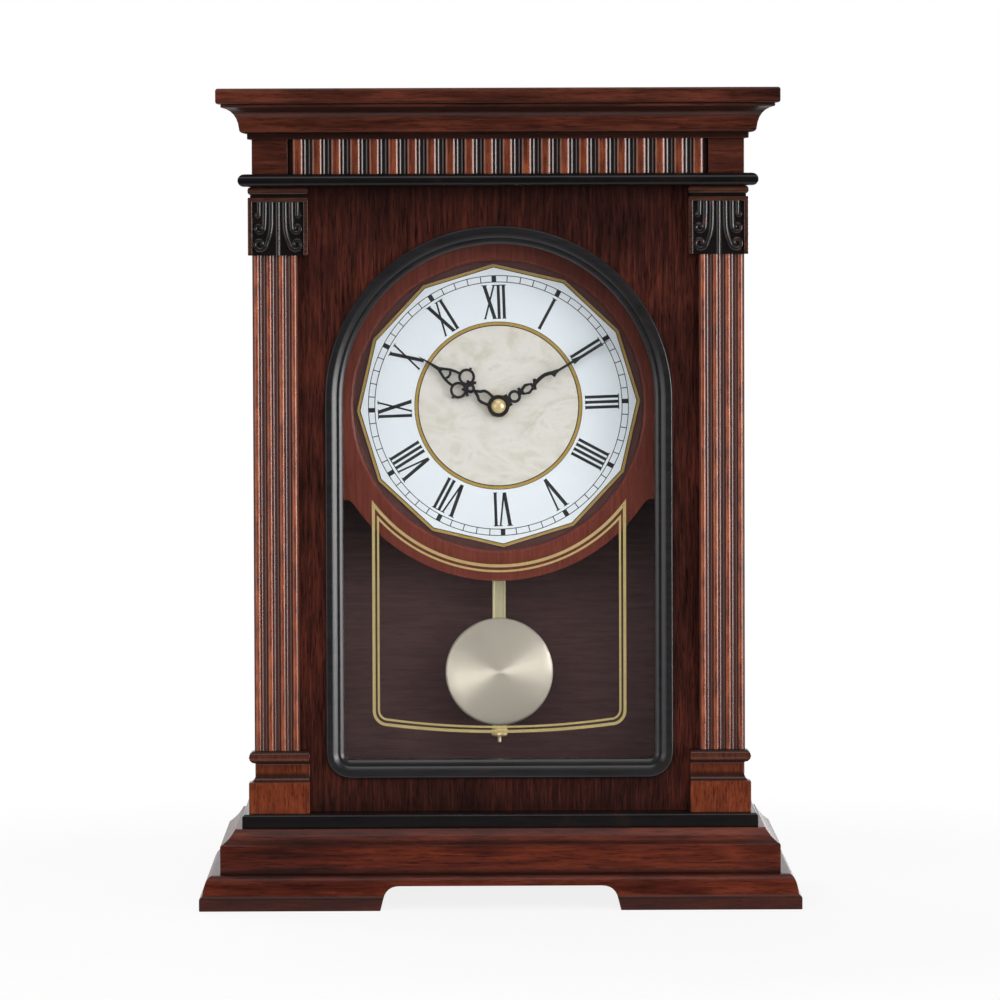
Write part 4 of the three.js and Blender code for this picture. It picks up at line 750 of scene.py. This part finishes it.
def archBead():
    bm = bmesh.new()
    base, front, panel, back = bead["sill"], bead["front"], bead["panel"], bead["back"]
    first, second = bead["bevels"]
    step = front + second["from"][1]
    traceOutline(bm, (0, panel, base), [
        (0, front + bead["edge"], base),
        {"about": (0, front + bead["edge"], base + bead["edge"]), "axis": (1, 0, 0), "turn": -90,
         "steps": bead["edgeSteps"]},
        (0, front, base + first["from"][0]),
        bevelArc(first),
        (0, step, base + second["from"][0] - bead["step"]),
        (0, step, base + second["from"][0]),
        bevelArc(second),
        (0, back, base + bead["width"]),
        (0, back, base + bead["lip"]),
        (0, panel, base + bead["lip"]),
        (0, panel, base),
    ])
    flat = bead["half"] - bead["corner"]
    rise = base + bead["corner"]
    edges = sweepOn(bm, list(bm.edges), (flat, 0, 0))
    edges = swingOn(bm, edges, (flat, 0, rise), -90, bead["cornerSteps"])
    edges = sweepOn(bm, edges, (0, 0, bead["spring"] - rise))
    edges = swingOn(bm, edges, (0, 0, bead["spring"]), -180, bead["archSteps"])
    edges = sweepOn(bm, edges, (0, 0, rise - bead["spring"]))
    edges = swingOn(bm, edges, (-flat, 0, rise), -90, bead["cornerSteps"])
    sweepOn(bm, edges, (flat, 0, 0))
    weld(bm, 0.01)
    faceOut(bm)
    standIn("arch_bead", "archBead", bm, beadBlack, sharp=40)


archBead()
print("bead swept")


# Glass with its printed gold border on the back

pane = {"half": 90.0, "front": -24.9, "back": -21.9, "low": 59.4, "high": 341.3, "edge": 0.4}
border = {"y": -21.9, "thick": 0.05, "centre": 246.66, "roundSteps": 8, "sagSteps": 24, "archSteps": 48,
          "lines": [
              {"half": 63.5, "arc": 78.08, "corner": 87.7, "sag": 3.6, "round": 7.5, "width": 1.5},
              {"half": 61.0, "arc": 80.94, "corner": 90.4, "sag": 3.8, "round": 5.4, "width": 1.05},
          ]}


def paneGlass():
    finish = Finish("paneGlass")
    smear = finish.noise(finish.place, 9, 3, 0.5)
    finish.rough(smear, 0.0, 0.03)
    finish.set(Base_Color=shade(253, 254, 254), Transmission_Weight=1.0, IOR=1.45)
    light = finish.make("LightPath").outputs
    # Lamps reach the dial through it
    finish.set(Alpha=finish.calc("SUBTRACT", 1.0, light["Is Shadow Ray"]))
    return finish.material


def glassPane():
    bm = boxMesh((-pane["half"], pane["half"]), (pane["front"], pane["back"]), (pane["low"], pane["high"]))
    easeEdges(bm, bm.edges[:], pane["edge"])
    standIn("front_glass", "glassPane", bm, paneGlass(), sharp=10)


def borderLine(bm, line):
    shape = bmesh.new()
    y, centre = border["y"], border["centre"]
    half, arc, sag = line["half"], line["arc"], line["sag"]
    reach = half - line["round"]
    rise = line["corner"] + line["round"]
    sagRadius = (reach ** 2 + sag ** 2) / (2 * sag)
    sagTurn = math.degrees(2 * math.asin(reach / sagRadius))
    spring = centre - math.sqrt(arc ** 2 - half ** 2)
    springTurn = math.degrees(2 * math.asin(half / arc))

    def swing(x, z, turn, steps):
        return {"about": (x, y, z), "axis": (0, 1, 0), "turn": turn, "steps": border[steps]}

    traceOutline(shape, (-half, y, spring), [
        (-half, y, rise),
        swing(-reach, rise, -90, "roundSteps"),
        swing(0, line["corner"] - sag + sagRadius, -sagTurn, "sagSteps"),
        swing(reach, rise, -90, "roundSteps"),
        (half, y, spring),
        swing(0, centre, springTurn, "archSteps"),
    ])
    weld(shape, 0.05)
    pourRim(shape, fillOutline(shape), line["width"], (0, border["thick"], 0), bm)


glassPane()
borderMesh = bmesh.new()
for line in border["lines"]:
    borderLine(borderMesh, line)
finishPiece("glassBorder", borderMesh, goldPrint, "case", "glass")
print("glass and border set")


# Dial mask and plate

dialPlace = {"z": 247.6, "y": -9.0, "turn": 1.9}
dialLook = {
    "ground": (225, 231, 236), "shadow": (218, 225, 231), "middle": 0.041,
    "vein": (220, 218, 211), "veined": 0.35,
    "pearl": [(0.34, (197, 190, 177)), (0.46, (207, 203, 194)), (0.56, (212, 209, 202)),
              (0.68, (202, 196, 184))],
}


def dialFace():
    finish = Finish("dialFace")
    inside = finish.calc("LESS_THAN", finish.fromMiddle(dialPlace["z"]), dialLook["middle"])
    fine = finish.noise(finish.place, 900, 3, 0.6)
    ground = finish.tones(fine, dialLook, shadow=0.3, ground=0.7)
    swirl = finish.mapped((1, 1, 1.7), turn=(0, 0.6, 0))
    cloud = finish.noise(swirl, 34, 5, 0.55, 2.2)
    veins = finish.noise(swirl, 70, 6, 0.65, 3.0)
    pearl = finish.ramp(cloud, [(place, shade(*tone)) for place, tone in dialLook["pearl"]])
    vein = finish.ramp(veins, [(0.46, black), (0.5, white), (0.54, black)])
    pearl = finish.blend(finish.calc("MULTIPLY", vein, dialLook["veined"]), pearl, shade(*dialLook["vein"]))
    finish.set(Base_Color=finish.blend(inside, ground, pearl))
    finish.rough(fine, 0.42, 0.56)
    finish.bump(fine, 0.03, 0.00005)
    return finish.material


dressNode("dial_mask", "dialMask", maskCherry, 0.25)
dressNode("dial_plate", "dialPlate", dialFace(), 0.2)


# Dial print: gold and black, a hair above the plate; rings are (sides, radius, width)

dialPrint = {"thick": 0.05, "lift": 0.005, "gold": [(12, 70.9, 1.2), (160, 41.9, 1.45)],
             "rings": [(12, 69.72, 0.45), (160, 42.16, 0.3), (160, 40.5, 0.52), (160, 65.4, 0.4),
                       (160, 62.2, 0.4)],
             "track": (62.0, 65.2), "tick": 0.46, "fiveTick": 2.3, "low": 43.7, "high": 60.3, "bar": 1.5,
             "thickLeg": 1.75, "thinLeg": 0.9, "pitch": 2.6, "letter": 6.2, "letterGap": 0.4, "legInset": 0.7,
             "tip": 0.3, "serif": 0.45, "outerFoot": 0.55, "innerFoot": 0.22}


def dialTurn(degrees, size=3):
    return Matrix.Rotation(math.radians(dialPlace["turn"] + degrees), size, "Z")


def flatRing(bm, sides, radius, width):
    shape = bmesh.new()
    bmesh.ops.create_circle(shape, cap_ends=True, segments=sides, radius=radius, matrix=dialTurn(90, 4))
    pourRim(shape, shape.faces[:][0], width, (0, 0, dialPrint["thick"]), bm)


def bar(bm, low, high, width):  # from one (across, up) point to another
    low, high = Vector((*low, 0)), Vector((*high, 0))
    along = high - low
    lean = Matrix.Rotation(math.atan2(along.y, along.x), 4, "Z")
    size = Matrix.Diagonal((along.length, width, dialPrint["thick"], 1))
    middle = Matrix.Translation((low + high) / 2 + Vector((0, 0, dialPrint["thick"] / 2)))
    return bmesh.ops.create_cube(bm, size=1, matrix=middle @ lean @ size)["verts"]


numerals = "XII I II III IIII V VI VII VIII IX X XI".split()


def numeral(bm, text, hour):
    verts = []
    wide = dialPrint["letter"] + dialPrint["letterGap"]
    widths = {"I": dialPrint["pitch"], "V": wide, "X": wide}
    at = -sum(widths[letter] for letter in text) / 2
    low, high = dialPrint["low"], dialPrint["high"]
    thick, thin = dialPrint["thickLeg"], dialPrint["thinLeg"]
    for letter in text:
        middle = at + widths[letter] / 2
        half = dialPrint["letter"] / 2 - dialPrint["legInset"]
        left, right = middle - half, middle + half
        feet = [(left, high, thick), (right, high, thin)]
        if letter == "I":
            feet = [(middle, high, dialPrint["bar"]), (middle, low, dialPrint["bar"])]
            verts += bar(bm, (middle, low), (middle, high), dialPrint["bar"])
        elif letter == "V":
            verts += bar(bm, (left, high), (middle, low), thick)
            verts += bar(bm, (right, high), (middle + dialPrint["tip"], low), thin)
        else:
            feet += [(right, low, thick), (left, low, thin)]
            verts += bar(bm, (left, high), (right, low), thick)
            verts += bar(bm, (right, high), (left, low), thin)
        for foot, height, leg in feet:  # serifs
            reach = leg / 2 + dialPrint["outerFoot" if height == high else "innerFoot"]
            verts += bar(bm, (foot - reach, height), (foot + reach, height), dialPrint["serif"])
        at += widths[letter]
    bmesh.ops.rotate(bm, matrix=dialTurn(-30 * hour), verts=verts)


def placeOnDial(bm):
    bmesh.ops.rotate(bm, matrix=Matrix.Rotation(math.radians(90), 3, "X"), verts=bm.verts)
    bmesh.ops.translate(bm, vec=(0, dialPlace["y"] + dialPrint["lift"], dialPlace["z"]), verts=bm.verts)


goldMesh = bmesh.new()
for ring in dialPrint["gold"]:
    flatRing(goldMesh, *ring)
placeOnDial(goldMesh)
finishPiece("dialGold", goldMesh, dialGilt, "case", "dial")

inkMesh = bmesh.new()
for ring in dialPrint["rings"]:
    flatRing(inkMesh, *ring)
trackLow, trackHigh = dialPrint["track"]
for minute in range(60):
    width = dialPrint["tick"] if minute % 5 else dialPrint["fiveTick"]
    tick = bar(inkMesh, (0, trackLow), (0, trackHigh), width)
    bmesh.ops.rotate(inkMesh, matrix=dialTurn(-6 * minute), verts=tick)
for hour, text in enumerate(numerals):
    numeral(inkMesh, text, hour)
placeOnDial(inkMesh)
finishPiece("dialInk", inkMesh, dialInk, "case", "dial")
print("dial printed")


# Hands, nuts and pendulum

hands = {"fuller": 0.18, "edge": 0.12}
for node, name in (("hour_hand", "hourHand"), ("minute_hand", "minuteHand")):
    handMesh = nodeCopy(node)
    for vert, way in [(vert, vert.normal * vert.calc_shell_factor()) for vert in handMesh.verts]:
        vert.co += way * hands["fuller"]
    softenEdges(handMesh, hands["edge"])
    standIn(node, name, handMesh, handBlack)

dressAll({
    "fixing_nut": ("fixingNut", turnedBrass, 0.25),
    "pendulum_rod": ("pendulumRod", rodBrass, 0.16),
    "pendulum_lever": ("pendulumLever", casePlastic, 0.2),
})

handNut = {"y": -15.3, "around": 48,
           "profile": [(0, -2.7), (1.0, -2.62), (1.9, -2.35), (2.7, -1.85), (3.3, -1.2), (3.6, -0.5),
                       (3.6, 0), (1.8, 0), (1.8, -1.5), (0, -1.5)]}
turnedPiece("hand_nut", "handNut", handNut, (0, handNut["y"], dialPlace["z"]), nutBrass)

bob = {"front": 2.0, "z": 112.9, "around": 160,
       "profile": [(0, 0), (12, 0.12), (22, 0.38), (25.7, 0.5), (26.5, 0.75), (26.95, 1.25), (27.1, 1.9),
                   (27.1, 3.3), (26.8, 3.8), (26.3, 4.0), (0, 4.0)]}
bobLook = {"rings": 3400, "cloud": 60, "dark": (226, 216, 198), "light": (242, 234, 218), "rough": 0.44,
           "metal": 0.78, "brushed": 0.9, "turn": 0.25}


def bobBrass():
    finish = Finish("bobBrass")
    ringPlace = finish.make("CombineXYZ")
    finish.feed(ringPlace.inputs, finish.fromMiddle(bob["z"]))
    rings = finish.noise(ringPlace.outputs["Vector"], bobLook["rings"], 3, 0.6)
    cloud = finish.noise(finish.place, bobLook["cloud"], 3, 0.5)
    finish.set(Base_Color=finish.tones(rings, bobLook, dark=0.3, light=0.7))
    finish.rough(cloud, bobLook["rough"] - 0.04, bobLook["rough"] + 0.06)
    tangent = finish.make("Tangent", direction_type="RADIAL", axis="Y")
    finish.set(Tangent=tangent.outputs["Tangent"])
    finish.set(Metallic=bobLook["metal"])
    finish.set(Anisotropic=bobLook["brushed"], Anisotropic_Rotation=bobLook["turn"])
    return finish.material


turnedPiece("pendulum_bob", "pendulumBob", bob, (0, bob["front"], bob["z"]), bobBrass(), flatFaces=False)

# Rating nut with a diamond knurl
ratingNut = {"bore": 1.2, "radius": 3.95, "end": 3.5, "chamfer": 0.45, "rows": 4, "around": 24, "knurl": 0.32}


def knurledNut():
    low, high = cornersOf("rating_nut")
    middle = Vector(((low.x + high.x) / 2, (low.y + high.y) / 2, 0))
    bore, end = ratingNut["bore"], ratingNut["end"]
    knurlLow = low.z + ratingNut["chamfer"]
    rise = (high.z - low.z - 2 * ratingNut["chamfer"]) / ratingNut["rows"]
    profile = [(bore, 0, low.z), (end, 0, low.z)]
    profile += [(ratingNut["radius"], 0, knurlLow + rise * row) for row in range(ratingNut["rows"] + 1)]
    profile += [(end, 0, high.z), (bore, 0, high.z), (bore, 0, low.z)]
    bm = turnedShape(profile, middle, ratingNut["around"], (0, 0, 1))
    outer = [face for face in bm.faces
             if abs(face.normal.z) < 0.1 and (face.calc_center_median() - middle).xy.length > end]
    bmesh.ops.poke(bm, faces=outer, offset=ratingNut["knurl"])
    standIn("rating_nut", "ratingNut", bm, nutBrass, sharp=20)


knurledNut()
print("hands and pendulum made")


# Movement and the furniture of the door

dressAll({
    "movement_case": ("movementCase", casePlastic, 0.4),
    "movement_cover": ("movementCover", casePlastic, 0.3),
    "setting_knob": ("settingKnob", casePlastic, 0.2),
    "battery_lid": ("batteryLid", knobPlastic, 0.25),
    "volume_knob": ("volumeKnob", knobPlastic, 0.2),
    "chime_switch": ("chimeSwitch", knobPlastic, 0.3),
    **{f"{place}_hinge_{leaf}_leaf": (f"{place}Hinge{leaf.title()}", turnedBrass, 0.12)
       for leaf in ("fixed", "door") for place in ("upper", "lower")},
    "catch_magnet": ("catchMagnet", casePlastic, 0.4),
    "catch_plate": ("catchPlate", turnedSteel, 0.2),
    "battery_inner": ("cellInner", cellJacket, 0.3),
    "battery_outer": ("cellOuter", cellJacket, 0.3),
    "speaker": ("chimeSpeaker", speakerCone, 0.2),
})

kept = {"threaded_bush": turnedBrass, "hour_wheel": turnedBrass, "motion_wheel": turnedBrass,
        "minute_arbor": turnedSteel}
for node, material in kept.items():
    frame["nodes"][node].material_slots[0].material = material

knob = {"around": 56,
        "profile": [(0, 0), (4.2, 0), (4.2, 0.8), (3.5, 1.6), (3.15, 3.4), (3.5, 4.6), (5.2, 5.6), (6.6, 6.6),
                    (7.0, 7.6), (6.7, 8.7), (5.4, 9.7), (3.0, 10.3), (0, 10.5)]}
low, high = cornersOf("door_knob")
turnedPiece("door_knob", "doorKnob", knob, ((low.x + high.x) / 2, low.y, (low.z + high.z) / 2), turnedBrass)

# Slotted screws of the hinges and the movement cover
screw = {"radius": 1.9, "rise": 0.5, "edge": 0.3, "slot": 0.26, "slotReach": 1.3, "slotDepth": 0.35,
         "around": 20, "firstTurn": 20, "nextTurn": 37, "hingeEnds": 6.0, "leaf": 1.2, "fixedInset": 3.4,
         "doorInset": 4.4, "cover": 2, "coverInset": 4, "coverRight": (14, 8)}


def screwHead(bm, place, facing, turn):
    head = bmesh.new()
    bmesh.ops.create_circle(head, cap_ends=True, segments=screw["around"], radius=screw["radius"])
    pushFaces(head, head.faces[:], (0, 0, screw["rise"]))
    rim = [edge for edge in head.edges if min(vert.co.z for vert in edge.verts) > screw["rise"] - 0.01]
    easeEdges(head, rim, screw["edge"], 3)
    for way in (-1, 1):
        cutAt(head, (way * screw["slot"], 0, 0), (1, 0, 0))
        cutAt(head, (0, way * screw["slotReach"], 0), (0, 1, 0))

    def inSlot(at):
        return abs(at.x) < screw["slot"] and abs(at.y) < screw["slotReach"]

    slot = [face for face in head.faces if face.normal.z > 0.9 and inSlot(face.calc_center_median())]
    sinkFaces(head, slot, (0, 0, -screw["slotDepth"]))
    faceOut(head)
    aim = Vector(facing).to_track_quat("Z", "Y").to_matrix().to_4x4()
    spun = Matrix.Rotation(math.radians(turn), 4, "Z")
    bmesh.ops.transform(head, matrix=Matrix.Translation(place) @ aim @ spun, verts=head.verts)
    pour(head, bm)


def screwSet(name, places, facing, material, body, slot):
    bm = bmesh.new()
    for i, place in enumerate(places):
        screwHead(bm, place, facing, screw["nextTurn"] * i + screw["firstTurn"])
    finishPiece(name, bm, material, body, slot)


fixedPlaces, doorPlaces = [], []
for hinge in ("upper", "lower"):
    low, high = cornersOf(hinge + "_hinge_fixed_leaf")
    heights = [low.z + screw["hingeEnds"], (low.z + high.z) / 2, high.z - screw["hingeEnds"]]
    fixedPlaces += [(high.x - screw["leaf"], high.y - screw["fixedInset"], z) for z in heights]
    low, high = cornersOf(hinge + "_hinge_door_leaf")
    doorPlaces += [(low.x + screw["doorInset"], low.y + screw["leaf"], z) for z in heights]
screwSet("hingeScrewsFixed", fixedPlaces, (-1, 0, 0), turnedBrass, "case", "brass")
screwSet("hingeScrewsDoor", doorPlaces, (0, 1, 0), turnedBrass, "door", "brass")
low, high = cornersOf("movement_cover")
coverFace = low.y + screw["cover"]
heights = (low.z + screw["coverInset"], high.z - screw["coverInset"])
coverPlaces = [(low.x + screw["coverInset"], coverFace, z) for z in heights]
coverPlaces += [(x, coverFace, z) for x, z in zip(screw["coverRight"], heights)]
screwSet("coverScrews", coverPlaces, (0, 1, 0), turnedSteel, "case", "steel")
print("movement and door furniture made")


# Floor, light and camera

studio = {"floor": 0.72, "floorSides": 96, "floorTone": 0.15, "fade": (0.3, 0.62), "behind": (-0.35, -0.12),
          "ambient": 0.3, "frontToBack": (-0.55, 0.3), "mirrored": (0.05, 1.0)}


def paleFloor():
    finish = Finish("paleFloor")
    finish.set(Roughness=0.9, Specular_IOR_Level=0.0, Emission_Color=white)
    # The floor takes the shadow near the clock and fades to white, and gloss shows it behind the clock only
    near = finish.span(finish.length(finish.place), studio["fade"], (1, 0), "SMOOTHSTEP")
    behind = finish.span(finish.axis(finish.place, "Y"), studio["behind"], (0, 1), "SMOOTHSTEP")
    tone = finish.calc("MULTIPLY", near, studio["floorTone"])
    finish.set(Base_Color=finish.ramp(tone, [(0.0, black), (1.0, white)]))
    light = finish.make("LightPath").outputs
    mirrored = finish.calc("MULTIPLY", light["Is Glossy Ray"], behind)
    seen = finish.calc("MAXIMUM", finish.seenClear(light), mirrored)
    finish.set(Emission_Strength=finish.calc("MULTIPLY", seen, finish.calc("SUBTRACT", 1.0, tone)))
    return finish.material


def floorDisc():
    bm = bmesh.new()
    bmesh.ops.create_circle(bm, cap_ends=True, segments=studio["floorSides"], radius=studio["floor"])
    mesh = bpy.data.meshes.new("floor")
    bm.to_mesh(mesh)
    bm.free()
    mesh.materials.append(paleFloor())
    floor = bpy.data.objects.new("floor", mesh)
    scene.collection.objects.link(floor)


# White behind the clock, dim behind the camera, and an even ambient for everything matt
def studioWorld():
    scene.world = bpy.data.worlds.new("studioWorld")
    tree = NodeTree(scene.world)
    sky = tree.nodes["Background"].inputs
    light = tree.make("LightPath").outputs
    facing = tree.axis(tree.make("TexCoord").outputs["Generated"], "Y")
    mirrored = tree.span(facing, studio["frontToBack"], studio["mirrored"], "SMOOTHSTEP")
    # What metal behind the glass mirrors, through both faces of the pane twice, stays at the ambient level
    polished = tree.calc("GREATER_THAN", light["Glossy Depth"], 0.5)
    uncovered = tree.calc("LESS_THAN", light["Transmission Depth"], 2.5)
    level = tree.mix(tree.calc("MULTIPLY", polished, uncovered), studio["ambient"], mirrored)
    tree.feed((sky["Color"], sky["Strength"]), white, tree.mix(tree.seenClear(light), level, 1.0))


floorDisc()
studioWorld()

# Soft light on matt surfaces, and the boxes that polish and metal mirror
lamps = {  # place, size, power and what it lights
    "frontFill": ((0.2, -2.6, 0.9), (3.0, 2.0), 50, "matt"),
    "rightFill": ((1.65, -1.4, 0.4), (0.9, 1.0), 6, "matt"),
    "backFill": ((-0.8, 2.2, 1.3), (2.0, 1.4), 34, "matt"),
    "overhead": ((0.0, -1.0, 1.9), (1.6, 0.8), 7, "both"),
    "rightBox": ((1.45, -1.2, 0.28), (0.9, 0.68), 19, "gloss"),
    "leftBox": ((-1.45, -1.2, 0.28), (0.9, 0.68), 4, "gloss"),
    "backBox": ((1.1, 1.9, 0.3), (1.0, 0.6), 7, "gloss"),
}
lampTarget = Vector((0, 0, 0.22))
for name, (place, size, power, lit) in lamps.items():
    light = bpy.data.lights.new(name, "AREA")
    light.shape = "RECTANGLE"
    light.size, light.size_y = size
    light.energy = power
    light.cycles.use_multiple_importance_sampling = lit != "matt"
    holder = bpy.data.objects.new(name, light)
    holder.location = place
    holder.rotation_euler = (lampTarget - Vector(place)).to_track_quat("-Z", "Y").to_euler()
    holder.visible_diffuse = lit != "gloss"
    holder.visible_glossy = holder.visible_transmission = lit != "matt"
    scene.collection.objects.link(holder)

view = {"from": (-0.0158, -3.258, 0.3558), "to": (0.0003, -0.070, 0.2031), "roll": 0.2, "lens": 233.3}
cameraData = bpy.data.cameras.new("photoCamera")
cameraData.lens = view["lens"]
camera = bpy.data.objects.new("photoCamera", cameraData)
camera.location = view["from"]
aim = (Vector(view["to"]) - Vector(view["from"])).to_track_quat("-Z", "Y")
camera.rotation_euler = (aim @ Quaternion((0, 0, 1), math.radians(-view["roll"]))).to_euler()
scene.collection.objects.link(camera)
scene.camera = camera
print("studio set")
